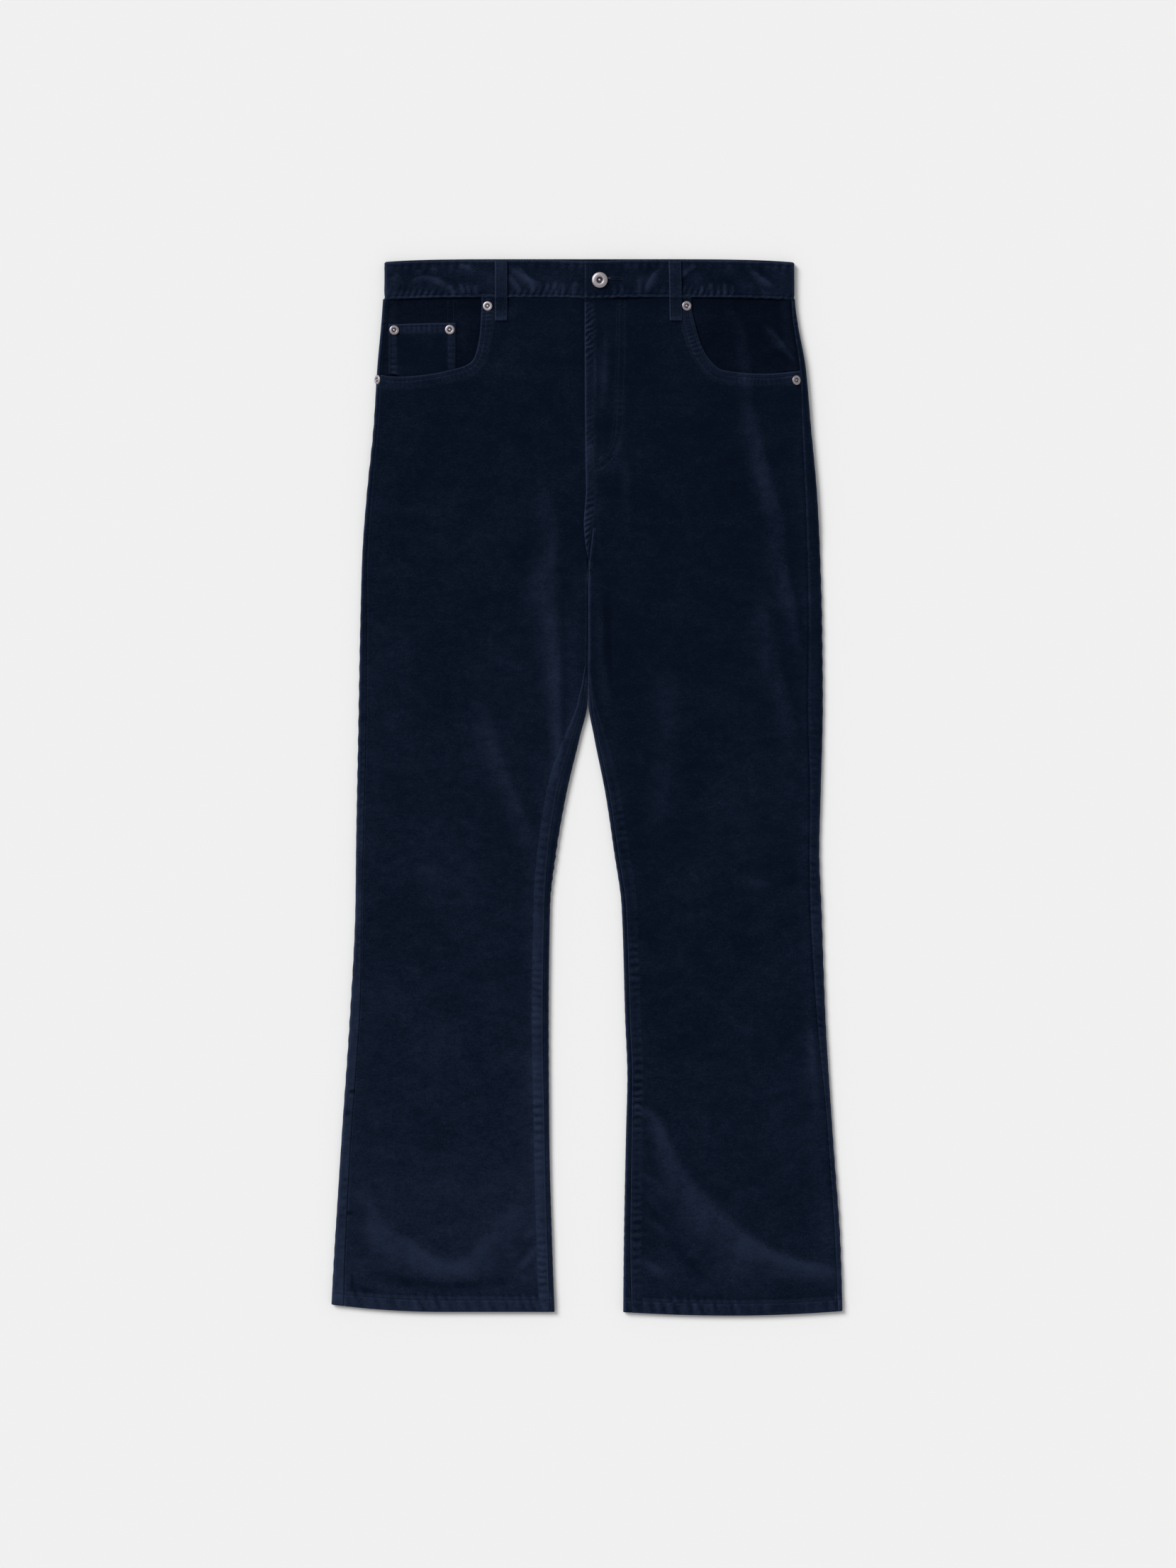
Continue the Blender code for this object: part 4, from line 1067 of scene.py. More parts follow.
class JEANS_OT_fronts(bpy.types.Operator):
    """Build the two front panels with their scoops, fly and pressed inseams"""
    bl_idname = "jeans.fronts"
    bl_label = "Front panels"

    def execute(self, context):
        for leg in LEGS:
            bm = bmesh.new()
            add_front_panel(bm, leg)
            base = panel_base(leg)
            add_welt(bm, scoop_line(leg), SCOOP_WELT, base, spacing=4.2, depth=0.15, seed=2.7 + leg.sign,
                     turn=-leg.sign, taper=1.5, strength=lambda down: 2.4 - 1.4 * ease(down, 92, 108))
            add_welt(bm, inseam_line(leg), INSEAM_WELT, base, spacing=8.4, depth=0.20, seed=5.1 + leg.sign,
                     turn=leg.sign, taper=9.0, slope=0.1, strength=inseam_puckers,
                     narrow=lambda down: 0.12 + 0.88 * ease(down, INSEAM_TOP, 560))
            if leg is RIGHT:
                add_fly(bm)
            piece = finish_cloth("front_panel_" + leg.name, bm, "front_" + leg.name)
        return {"FINISHED"}


def back_points(leg, share, down, whole):
    """Places along the section of a back panel, by the share of the way round it."""
    edge = edge_at(leg.side, down)
    seam = edge - seam_at(leg.side, down) + CLEAR
    low = seat_lift(down)
    legs_only = fade(down, 1090, 1115)
    start = edge - FOLD_R + 0.28 * waves(down, 19.0, 2.1 + leg.sign) * ease(down, 130, 190) * legs_only
    inner = edge_at(leg.inseam, down)
    bumps = 0.36 * waves(down, 12.0, 3.3) * ease(down, 500, 530) * fade(down, 640, 760) * (leg is LEFT)
    bumps = bumps + 0.16 * waves(down, 12.0, 1.7) * ease(down, 500, 560) * legs_only
    round_in = FOLD_R * ease(down, CROTCH, CROTCH + 45)
    turn_in = inner + round_in + bumps
    half_in = (lay(leg, turn_in, down) - low) / 2
    last = np.maximum(turn_in, inner + seam_at(leg.inseam, down) - CLEAR)

    strip = np.clip(share, 0, 1)
    arc = np.clip(share - 1, 0, 1)
    flat = np.clip(share - 2, 0, 1)
    arc_in = np.clip(share - 3, 0, 1)
    strip_in = np.clip(share - 4, 0, 1)

    across = seam + (start - seam) * strip
    up = lay(leg, across, down) - 0.5 * bell(across - seam, 0.9) * (share < 1)
    ropy = ease(down, 420, 560) + (leg is RIGHT) * fade(down, 108, 124)
    allowance = 0.34 * waves(down, 8.8, 6.3 + leg.sign) * np.sin(np.pi * strip) * ropy * (share < 1)
    up = up + allowance + hem_shape(leg.sign * across, down) * (share < 1)
    angle = math.pi / 2 - math.pi * arc
    on_arc = (share >= 1) & (share < 2)
    top = lay(leg, start, down) - low + hem_shape(leg.sign * across, down) * (1 - arc)
    across = np.where(on_arc, start + FOLD_R * np.cos(angle), across)
    up = np.where(on_arc, low + top / 2 * (1 + np.sin(angle)), up)
    up = np.maximum(up, 0.02)
    end = turn_in if whole else leg.inseam[0][1]
    on_flat = (share >= 2) & (share <= 3)
    flat_across = start + (end - start) * flat
    across = np.where(on_flat, flat_across, across)
    free = np.sin(np.pi * np.clip(flat, 0.02, 0.98)) ** 0.3
    up = np.where(on_flat, under(leg.sign * flat_across, down) * free + low * (1 - free), up)
    if not whole:
        up = up + 0.5 * bell(across - end, 0.9) * on_flat * fade(down, CROTCH - 6, CROTCH)
        return across, up
    angle = -math.pi / 2 + math.pi * arc_in
    on_arc = (share > 3) & (share <= 4)
    hidden = fade(seam_at(leg.inseam, down), 2.0, 4.0)
    top = 2 * half_in + hem_shape(leg.sign * turn_in, down) * arc_in - 0.9 * hidden * arc_in
    across = np.where(on_arc, turn_in - round_in * np.cos(angle), across)
    up = np.where(on_arc, low + top / 2 * (1 + np.sin(angle)), up)
    up = np.maximum(up, 0.02)
    on_strip = share > 4
    strip_across = turn_in + (last - turn_in) * strip_in
    across = np.where(on_strip, strip_across, across)
    strip_up = lay(leg, strip_across, down) - 0.9 * hidden - 0.5 * bell(last - strip_across, 0.9)
    up = np.where(on_strip, strip_up + hem_shape(leg.sign * strip_across, down), up)
    return across, up


# Columns of the seat, which ends at the centre-back seam, and of the leg, which goes on round to the inseam
SEAT_COLUMNS = spaced((0, 1, 2, 3), (6, 9, 34))
LEG_COLUMNS = spaced((0, 1, 2, 3, 4, 5), (6, 9, 34, 9, 5))
BACK_LEG_ROWS = spaced((CROTCH, HEM_ROWS, HEM), (200, 20))


def yoke_seam(across):
    """Where the seam below a yoke lies, lowest at the centre back."""
    return SIDE_YOKE + MIDDLE_YOKE * (1 - np.minimum(1.0, np.abs(across) / 222) ** 1.2)


def add_back_panel(bm, leg):
    def seat(u, v):
        down = SIDE_YOKE + (CROTCH - SIDE_YOKE) * v
        across, up = back_points(leg, u, down, False)
        # painted light on the ripples of the seam strip, and painted shade at the yoke seam and its puckers
        # behind
        pleats = 0.5 * (up - lay(leg, across, down)) * (u < 1)
        outward = np.cos(np.pi * np.clip(u - 1, 0, 1))
        behind = np.maximum(-outward, 0)
        dip = 0.5 * bell(down - SIDE_YOKE, 1.2)
        pucker = 0.16 * waves(across, 7.5, 3.7) * fade(down, SIDE_YOKE + 2, SIDE_YOKE + 12)
        down = down + (yoke_seam(across) + CLEAR - SIDE_YOKE) * (1 - v)
        up = up + (dip + pucker) * behind - 0.5 * dip * np.maximum(outward, 0)
        return place(leg.sign * across, down, up), pleats - (0.3 * dip + 0.5 * pucker) * behind

    def legs(u, v):
        across, up = back_points(leg, u, v, True)
        # painted light on the ripples of the seam strips, and the hem's painted light and shade
        pleats = 0.5 * (up - lay(leg, across, v)) * ((u < 1) | (u > 4)) * (v < HEM_ROWS)
        return place(leg.sign * across, v, up), pleats + hem_painted_light(leg.sign * across, v) * (np.abs(u - 2.5) > 1)

    add_grid(bm, SEAT_COLUMNS, spread(0, 1, 70), seat)
    add_grid(bm, LEG_COLUMNS, BACK_LEG_ROWS, legs)
    bmesh.ops.remove_doubles(bm, verts=bm.verts, dist=1e-6)


class JEANS_OT_backs(bpy.types.Operator):
    """Build the two back panels, which roll over the fold edges to the seams on top"""
    bl_idname = "jeans.backs"
    bl_label = "Back panels"

    def execute(self, context):
        for leg in LEGS:
            bm = bmesh.new()
            add_back_panel(bm, leg)
            piece = finish_cloth("back_panel_" + leg.name, bm, "back_" + leg.name)
        return {"FINISHED"}


class JEANS_OT_yokes(bpy.types.Operator):
    """Build the two back yokes"""
    bl_idname = "jeans.yokes"
    bl_label = "Back yokes"

    def execute(self, context):
        for leg in LEGS:
            def shape(u, v, leg=leg):
                nominal = YOKE_TOP + (SIDE_YOKE - YOKE_TOP) * v
                across, up = back_points(leg, u, nominal, False)
                down = YOKE_TOP + (yoke_seam(across) - CLEAR - YOKE_TOP) * v
                dip = 1.4 * fade(down, *TUCK) * (u < 1.5)
                seam = yoke_seam(across) - down
                roll = 0.5 * bell(seam, 0.9)
                sewn = sum(0.22 * bell(seam - line, 0.8) for line in YOKE_SEWING)
                outward = np.cos(np.pi * np.clip(u - 1, 0, 1))
                # painted shade in the stitched grooves
                return place(leg.sign * across, down, up - dip - outward * (roll + sewn)), -0.6 * sewn

            bm = bmesh.new()
            add_grid(bm, SEAT_COLUMNS, spread(0, 1, 22), shape)
            piece = finish_cloth("yoke_piece_" + leg.name, bm, "yoke_" + leg.name)
        return {"FINISHED"}


# ---- pockets

def facing_depth(leg, across, down):
    """How far a pocket facing lies below the front panel."""
    seam = edge_at(leg.side, down) - seam_at(leg.side, down)
    shallow = CLOTH + GAP
    deep = shallow + (leg.facing_drop - shallow) * ease(down, 44, 60)
    return deep * ease(seam - across, 0.5, 15)


def scoop_down(leg, across):
    """Where the scoop's lower edge crosses a line across."""
    line = scoop_line(leg)
    lower = line[line[:, 1] > 100]
    order = np.argsort(leg.sign * lower[:, 0])
    return np.interp(across, leg.sign * lower[order, 0], lower[order, 1])


def facing_low(leg, across, outer):
    """A facing's lower edge: just inside the scoop at the side, and under the front further in."""
    meets = scoop_down(leg, np.maximum(across, 130.0)) - GAP
    return meets + (FACING_LOW - meets) * ease(outer - across, 15, 32)


def facing_up(leg, across, down):
    """Height of a pocket facing."""
    up = lay(leg, across, down) - facing_depth(leg, across, down)
    side = np.maximum(0.0, outer_edge(leg, down) - across)
    return up - 0.6 * bell(side, 1.1) - 0.8 * fade(down, 39, 43)


def coin_up(leg, across, down):
    """Height of the coin pocket, which lies on the left facing."""
    return lay(leg, across, down) - facing_depth(leg, across, down) + LINING + GAP


def add_facing(bm, leg):
    """A pocket facing, from under the waistband to under the scoop."""
    corner = float(facing_low(leg, 215.0, 215.0))

    def shape(u, v):
        outer = outer_edge(leg, FACING_TOP + (corner - FACING_TOP) * v) - 0.1
        across = outer + (FACING_INNER - outer) * u
        down = FACING_TOP + (facing_low(leg, across, outer) - FACING_TOP) * v
        return place(leg.sign * across, down, facing_up(leg, across, down))

    add_grid(bm, spread(0, 1, 60), spread(0, 1, 48), shape)


def add_coin_pocket(bm):
    """The coin pocket, with two rows of stitches along its top and sides."""
    leg = LEFT

    def shape(u, v):
        across = COIN_OUTER + (COIN_INNER - COIN_OUTER) * u
        low = facing_low(leg, across, float(outer_edge(leg, 125.0))) - 2.0
        down = COIN_TOP + (low - COIN_TOP) * v
        side = np.minimum(COIN_OUTER - across, across - COIN_INNER)
        top = down - COIN_TOP
        relief = np.zeros(len(u))
        for distance, sewing in ((top, COIN_TOP_SEWING), (side, COIN_SIDE_SEWING)):
            for line in sewing:
                relief = relief - 0.40 * bell(distance - line, 0.8)
            relief = relief + 0.45 * ease(distance, 0.3, 1.4) * fade(distance, sewing[1], sewing[1] + 2)
        relief = relief + 0.20 * waves(across, 5.3, 8.1) * fade(top, 9, 14) * ease(top, 0.5, 3)
        pucker = 0.35 * waves(down, 6.4, 3.1) * fade(side, 7, 11) * ease(side, 0.5, 3)
        relief = relief + pucker * ease(top, 12, 16)
        roll = 1.0 * bell(np.minimum(top, side), 1.0)
        up = coin_up(leg, across, down) + relief - roll
        # painted light on the raised parts and painted shade in the stitched grooves, and a little darker all
        # over
        return place(leg.sign * across, down, up), 0.42 * relief - 0.05

    add_grid(bm, spread(0, 1, 66), spread(0, 1, 54), shape)


def back_pocket_outline(leg, inset=0.0):
    """The corners of a patch pocket as (x, down), or of a line that far inside it."""
    top = (PATCH_HALF - inset, PATCH_TOP + inset)
    shoulder = (PATCH_HALF - PATCH_TAPER - inset, PATCH_LOW - PATCH_POINT - 0.6 * inset)
    half = (top, shoulder, (0.0, PATCH_LOW - inset))
    corners = [(-across, down) for across, down in half] + [*half[1::-1]]
    return [(leg.sign * (PATCH_MIDDLE + across), down) for across, down in corners]


def add_back_pocket(bm, leg):
    """A five-sided patch under the back panel, its outer side just clear of the floor."""
    def shape(u, v):
        half = PATCH_HALF - PATCH_TAPER * v
        across = PATCH_MIDDLE + u * half
        top = PATCH_TOP + 4.0 * (1 - np.abs(u))
        low = PATCH_LOW - PATCH_POINT * np.abs(u)
        down = top + (low - top) * v
        side, above, below = half * (1 - np.abs(u)), down - top, low - down
        edge = np.minimum(side, below)
        sewn = sum(bell(edge - line, 0.9) for line in PATCH_SEWING) * ease(above, 0, 2)
        hem = sum(bell(above - line, 0.9) for line in (2.2, 16.0)) * ease(edge, 1, 3)
        pucker = 0.5 * (1 + waves(down + u * 40, 6.5, 5.0 + leg.sign)) * fade(edge, 8, 12) * ease(edge, 1, 3)
        rim = fade(np.minimum(edge, above), -0.1, 1.4)
        rise = 0.30 * np.minimum(sewn + hem, 1) + 0.16 * pucker + 0.10 * (1 + swell(across, down, 24, 61))
        # painted shade along the rows of stitches and on the puckers, and a painted highlight along the rim
        brushed_and_painted_light = -0.20 * np.minimum(sewn + hem, 1) - 0.14 * pucker + 0.20 * rim
        return place(leg.sign * across, down, 0.04 + rise + 0.35 * rim), brushed_and_painted_light

    add_grid(bm, spread(-1, 1, 70), spread(0, 1, 70), shape, look_up=False)


class JEANS_OT_pockets(bpy.types.Operator):
    """Build the pocket facings, the coin pocket and the patch pockets behind"""
    bl_idname = "jeans.pockets"
    bl_label = "Pockets"

    def execute(self, context):
        for leg in LEGS:
            bm = bmesh.new()
            add_facing(bm, leg)
            piece = finish_cloth("pocket_facing_" + leg.name, bm, "facing_" + leg.name,
                                 wall=0.8, cloth="Velvet facing in painted shade")
            bm = bmesh.new()
            add_back_pocket(bm, leg)
            piece = finish_cloth("patch_pocket_" + leg.name, bm, "pocket_back_" + leg.name, wall=0.6)
        bm = bmesh.new()
        add_coin_pocket(bm)
        piece = finish_cloth("small_pocket", bm, "coin_pocket", wall=0.8)
        return {"FINISHED"}


# ---- waistband and loops

def band_path():
    """The waistband's outer side, as rows of x, up, share of the way behind, and outward x and up."""
    left, right = LEFT.side[0][1] + 0.6 - FOLD_R, RIGHT.side[0][1] + 0.6 - FOLD_R

    def plain(x):
        return float(band_up(x))

    def front(start, end, count, up):
        return [(x, up(x), 0.0, 0, 1) for x in np.linspace(start, end, count)]

    def fold(centre, sign):
        half = (plain(sign * centre) - SEAT_LIFT) / 2
        return [(sign * (centre + FOLD_R * math.cos(angle)), SEAT_LIFT + half * (1 + math.sin(angle)),
                 (1 - math.sin(angle)) / 2, sign * math.cos(angle), math.sin(angle))
                for angle in np.linspace(math.pi / 2, -math.pi / 2, 12)]

    path = front(29, -70, 60, lambda x: float(band_plain(x, 0)))
    path += front(-70, -left, 90, plain)[1:]
    path += fold(left, -1)
    path += [(x, SEAT_LIFT, 1.0, 0, -1) for x in np.linspace(-left, right, 220)[1:-1]]
    path += fold(right, 1)[::-1]
    path += front(right, 82, 84, plain)[1:]
    path += front(82, FLY, 60, lambda x: plain(x) + (BAND + GAP) * float(fade(x, *LAP_SLOPE)))[1:]
    return np.array(path)


def band_relief(along, below, behind):
    """Height of the waistband's rolled edges, stitch grooves and puckers."""
    width = BAND_LOW - BAND_TOP
    above = width - below
    relief = -1.3 * fade(below, -0.1, 1.6) ** 1.6 - 1.3 * fade(above, -0.1, 1.3) ** 1.6
    relief = relief - 0.40 * bell(below - 3.4, 0.8) + 0.20 * bell(below - 1.6, 0.9)
    relief = relief + 0.70 * bell(above - 1.3, 1.0) - 0.45 * bell(above - 3.4, 0.9)
    reach = fade(above, 3, 12 + 6 * np.sin(along / 31.0))
    slanted = waves(along + 0.42 * above, 7.0, 3.9)
    relief = relief + 0.52 * slanted * reach * ease(above, 0.6, 2.4)
    relief = relief + 0.24 * waves(along - 0.2 * below, 9.5, 7.7) * fade(below, 4, 14) * ease(below, 0.8, 3)
    relief = relief + 0.20 * swell(along, below * 1.6, 17, 31) + 0.12 * swell(along, below, 7, 33)
    return relief * (1 - 0.45 * behind)


def band_sag(x):
    """The waistband sags a little at the button."""
    return 1.5 * bell(np.asarray(x, float) - 8, 24)


def add_waistband(bm):
    """The whole band as one strip along its path, with its creases and rolled edges."""
    path = band_path()
    run = run_along(path)
    keep = np.concatenate([[True], np.diff(run) > 1e-6])
    path, run = path[keep], run[keep]
    at = np.linspace(0, run[-1], BAND_COLUMNS)
    path = np.stack([np.interp(at, run, column) for column in path.T], axis=1)
    first, last = at[0], at[-1]

    def shape(u, v):
        x, up, behind, out_x, out_up = path[u.astype(int)].T
        along = at[u.astype(int)]
        top = BAND_TOP + (BACK_RISE - BAND_TOP) * behind
        down = top + (BAND_LOW - top) * v
        relief = band_relief(along, (BAND_LOW - BAND_TOP) * v, behind)
        relief = relief + crease(x, down, BAND_FOLDS) * (1 - behind) * 0.9
        down = down + 0.45 * waves(along, 11.5, 1.1) * v**6 + band_sag(x) * (1 - behind)
        end = np.minimum(along - first, last - along)
        relief = relief - 1.1 * fade(end, -0.1, 1.6) ** 1.6 - 0.3 * bell(end - 3.4, 0.8)
        relief = relief - buttonhole_dip(x, down) * (along > last / 2)
        # painted highlights on the band's raised crests, and painted shade at its rolled edges and grooves
        return place(x + out_x * relief, down, up + out_up * relief), 0.50 * np.clip(relief, -0.5, 1)

    add_grid(bm, np.arange(BAND_COLUMNS), spread(0, 1, 30), shape)


def buttonhole_dip(x, down):
    """The sewn edge of the buttonhole presses into the band."""
    inside = ease(x, BUTTON_X, BUTTON_X + 4) * fade(x, BUTTON_X + 22, BUTTON_X + 25)
    return 0.5 * bell(down - BUTTON_DOWN, 1.6) * inside


class JEANS_OT_waistband(bpy.types.Operator):
    """Build the waistband with its puckers, lapped over at the front"""
    bl_idname = "jeans.waistband"
    bl_label = "Waistband"

    def execute(self, context):
        bm = bmesh.new()
        add_waistband(bm)
        piece = finish_cloth("waist_band", bm, "waistband", wall=1.5, cloth="Velvet band")
        return {"FINISHED"}


Loop = namedtuple("Loop", "name leg top low behind")
LOOPS = (
    Loop("loop_front_left", LEFT, 92.0, 92.0, False),
    Loop("loop_front_right", RIGHT, 94.3, 95.4, False),
    Loop("loop_back_left", LEFT, 128.0, 128.0, True),
    Loop("loop_back_right", RIGHT, 128.0, 128.0, True),
    Loop("loop_back_middle", RIGHT, 0.0, 0.0, True),
)
LOOP_ARCH = ((1.5, 0.0), (7, 0.5), (17, 1.5), (30, 1.5), (40, 1.0), (47, 0.9), (57, 0.1), (66, 0.0))


def loop_centre(loop, down):
    """The middle line of a belt loop, which may lean."""
    return loop.leg.sign * (loop.top + (loop.low - loop.top) * down / LOOP_LOW)


def loop_up(loop, down, offset):
    """Height of a belt loop's outer side."""
    centre = loop_centre(loop, down)
    ends = np.minimum(down - LOOP_TOP, LOOP_LOW - down)
    relief = -0.9 * fade(LOOP_WIDTH / 2 - np.abs(offset), -0.1, 1.5) ** 1.6
    for line in LOOP_SEWING:
        relief = relief - 0.32 * bell(offset - line, 0.75)
    relief = relief + 0.16 * waves(down, 6.1, 5.5 + loop.top) * ease(np.abs(offset), 3.5, 5)
    relief = relief - 0.45 * fade(ends, 0.0, 2.2) + 0.12 * swell(offset, down, 5, 41)
    if loop.behind:
        return 0.12 - relief * 0.5
    panel = lay(loop.leg, np.abs(centre), down) + 0.35
    base = np.where(down < 44, band_up(centre), np.maximum(panel, band_up(centre) - 0.22 * (down - 44)))
    return base + through(LOOP_ARCH, down) + 1.75 + relief


class JEANS_OT_loops(bpy.types.Operator):
    """Build the belt loops, two in front and three behind"""
    bl_idname = "jeans.loops"
    bl_label = "Belt loops"

    def execute(self, context):
        for loop in LOOPS:
            def shape(u, v, loop=loop):
                # painted highlights along the loop's raised edges, its middle, its folded foot and its ribs
                rim = 0.20 * ease(np.abs(u), 4.6, 5.8) + 0.10 * (np.abs(u) < 2.6) + 0.25 * ease(v, 60.5, 63.5)
                rib = 0.12 * waves(v, 4.9, 2.2 + loop.top) * ease(np.abs(u), 4.2, 5.2)
                return place(loop_centre(loop, v) + u, v, loop_up(loop, v, u)), rim + rib

            bm = bmesh.new()
            columns = spread(-LOOP_WIDTH / 2, LOOP_WIDTH / 2, 18)
            add_grid(bm, columns, spread(LOOP_TOP, LOOP_LOW, 56), shape, look_up=not loop.behind)
            wall = 0.8 if loop.behind else 1.4
            piece = finish_cloth("belt_" + loop.name, bm, loop.name, wall=wall, cloth="Velvet band")
        return {"FINISHED"}


class JEANS_OT_hems(bpy.types.Operator):
    """Build the turned-up inside of the legs' ends"""
    bl_idname = "jeans.hems"
    bl_label = "Hems"

    def execute(self, context):
        for leg in LEGS:
            bm = bmesh.new()
            add_hem_ring(bm, leg)
            piece = finish_cloth("turned_hem_" + leg.name, bm, "hem_" + leg.name, wall=0.7,
                                 cloth="Velvet facing in painted shade")
        return {"FINISHED"}


def add_hem_ring(bm, leg):
    """A flat ring of cloth inside the end of a leg."""
    inset = CLOTH + GAP
    reach = FOLD_R - inset

    def shape(u, down):
        outer = edge_at(leg.side, down) - inset
        inner = edge_at(leg.inseam, down) + inset
        tops = lay(leg, outer - reach, down) - inset - 0.1
        tops_in = lay(leg, inner + reach, down) - inset - 0.1
        low = inset + 0.05
        across = inner + reach + (outer - inner - 2 * reach) * np.clip(u, 0, 1)
        up = lay(leg, across, down) - inset - 0.1
        angle = math.pi / 2 - math.pi * np.clip(u - 1, 0, 1)
        turned = (u > 1) & (u <= 2)
        across = np.where(turned, outer - reach + reach * np.cos(angle), across)
        up = np.where(turned, low + (tops - low) / 2 * (1 + np.sin(angle)), up)
        flat = (u > 2) & (u <= 3)
        across = np.where(flat, outer - reach - (outer - inner - 2 * reach) * np.clip(u - 2, 0, 1), across)
        up = np.where(flat, low, up)
        angle = -math.pi / 2 + math.pi * np.clip(u - 3, 0, 1)
        turned = u > 3
        across = np.where(turned, inner + reach - reach * np.cos(angle), across)
        up = np.where(turned, low + (tops_in - low) / 2 * (1 + np.sin(angle)), up)
        return place(leg.sign * across, down, up)

    add_grid(bm, spaced((0, 1, 2, 3, 4), (60, 6, 40, 6)), spread(HEM - HEM_TURN, HEM - 0.4, 6), shape)
    bmesh.ops.remove_doubles(bm, verts=bm.verts, dist=1e-6)


# ---- metal trim

# Profiles of the metal: radius, height, how dark its tarnish is
RIVET = (
    (5.0, -0.4, 0.4), (5.15, 0.2, 0.2), (5.1, 0.7, 0.0), (4.85, 1.0, 0.0), (4.3, 1.15, 0.0),
    (3.0, 1.2, 0.0), (2.5, 1.08, 0.3), (2.3, 0.7, 0.9), (2.0, 0.5, 0.9), (1.5, 0.5, 0.9), (1.3, 0.6, 0.6),
    (1.1, 0.95, 0.1), (0.6, 1.12, 0.0), (0.0, 1.16, 0.0),
)
RIVET_SIDES, BUTTON_SIDES = 40, 72
Rivet = namedtuple("Rivet", "name leg across down seat lift tilt")
RIVETS = (
    Rivet("rivet_1", LEFT, 106.4, 50.2, "front", 1.1, 3),
    Rivet("rivet_2", LEFT, 206.6, 74.6, "coin", 0.9, -6),
    Rivet("rivet_3", LEFT, 147.0, 75.2, "coin", 0.7, 0),
    Rivet("rivet_4", LEFT, 222.5, 129.0, "edge", -1.0, 56),
    Rivet("rivet_5", RIGHT, 106.9, 50.0, "front", 1.4, 14),
    Rivet("rivet_6", RIGHT, 224.2, 130.0, "front", 2.6, 31),
)


def turned_piece(name, profile, sides, origin, tilt, replaced):
    """A round metal piece turned from (radius, height) points."""
    bm = bmesh.new()
    layer = bm.verts.layers.float.new("tarnish")
    verts = [bm.verts.new((radius * MM, 0, height * MM)) for radius, height, _ in profile]
    for vert, (_, _, tarnish) in zip(verts, profile):
        vert[layer] = tarnish
    edges = [bm.edges.new(pair) for pair in zip(verts, verts[1:])]
    bmesh.ops.spin(bm, geom=verts + edges, cent=(0, 0, 0), axis=(0, 0, 1), angle=2 * math.pi, steps=sides,
                   use_merge=True)
    bmesh.ops.remove_doubles(bm, verts=bm.verts, dist=1e-7)
    bmesh.ops.recalc_face_normals(bm, faces=bm.faces)
    if sum(face.normal.z for face in bm.faces) < 0:
        bmesh.ops.reverse_faces(bm, faces=bm.faces)
    bmesh.ops.transform(bm, matrix=Matrix.Translation(origin) @ Matrix.Rotation(tilt, 4, "Y"), verts=bm.verts)
    finish_piece(name, bm, metal_material(), "nickel", wall=0, replaces=(replaced,))


class JEANS_OT_metal(bpy.types.Operator):
    """Build the six rivets and the shank button"""
    bl_idname = "jeans.metal"
    bl_label = "Metal trim"

    def execute(self, context):
        for rivet in RIVETS:
            origin, tilt = rivet_seat(rivet)
            turned_piece(rivet.name + "_cap", RIVET, RIVET_SIDES, origin, tilt, rivet.name)
        make_button()
        return {"FINISHED"}


def rivet_seat(rivet):
    """Where a rivet sits, and how far it leans out to the side."""
    leg = rivet.leg
    tilt = math.radians(rivet.tilt)
    if rivet.seat == "edge":
        across = float(edge_at(leg.side, rivet.down)) - FOLD_R
        low = float(seat_lift(rivet.down))
        half = (float(lay(leg, across, rivet.down)) - low) / 2
        across = across + (FOLD_R + rivet.lift) * math.sin(tilt)
        up = low + half + (half + rivet.lift) * math.cos(tilt)
    else:
        height = coin_up if rivet.seat == "coin" else lay
        across = rivet.across
        up = float(height(leg, rivet.across, rivet.down)) + rivet.lift
    return Vector(place(leg.sign * across, rivet.down, up)), leg.sign * tilt


BUTTON = (
    (0.0, 0.0, 0.5), (1.5, 0.0, 0.5), (1.5, 2.9, 0.5), (6.6, 2.9, 0.4), (8.0, 3.1, 0.3), (8.5, 3.7, 0.1),
    (8.5, 4.5, 0.0), (8.2, 5.0, 0.0), (7.75, 5.28, 0.0), (7.5, 5.22, 0.25), (7.3, 5.22, 0.25),
    (7.05, 5.36, 0.0), (6.0, 5.5, 0.0), (4.6, 5.5, 0.0), (3.9, 5.42, 0.1), (3.5, 5.2, 0.2),
    (3.15, 4.7, 0.75), (2.9, 4.3, 0.95), (2.0, 4.2, 0.95), (1.5, 4.25, 0.8), (1.3, 4.7, 0.3),
    (0.9, 5.05, 0.1), (0.0, 5.15, 0.0),
)


def make_button():
    """The shank button: a plain turned ring round a dark dish with a small knob."""
    foot = float(band_up(0.0)) + GAP
    origin = Vector(place(BUTTON_X, BUTTON_DOWN, foot))
    turned_piece("shank_button", BUTTON, BUTTON_SIDES, origin, 0.0, "button")


# ---- sewing

PALE_THREAD = (0.20, 0.22, 0.25)


def rise_of(profile, offset):
    """Height of a profile at an offset, without its rolled edge."""
    rolled = profile[0].offset > profile[1].offset
    table = np.array(profile, float)[3 if rolled else 0:]
    return float(np.interp(offset, table[:, 0], table[:, 1]))


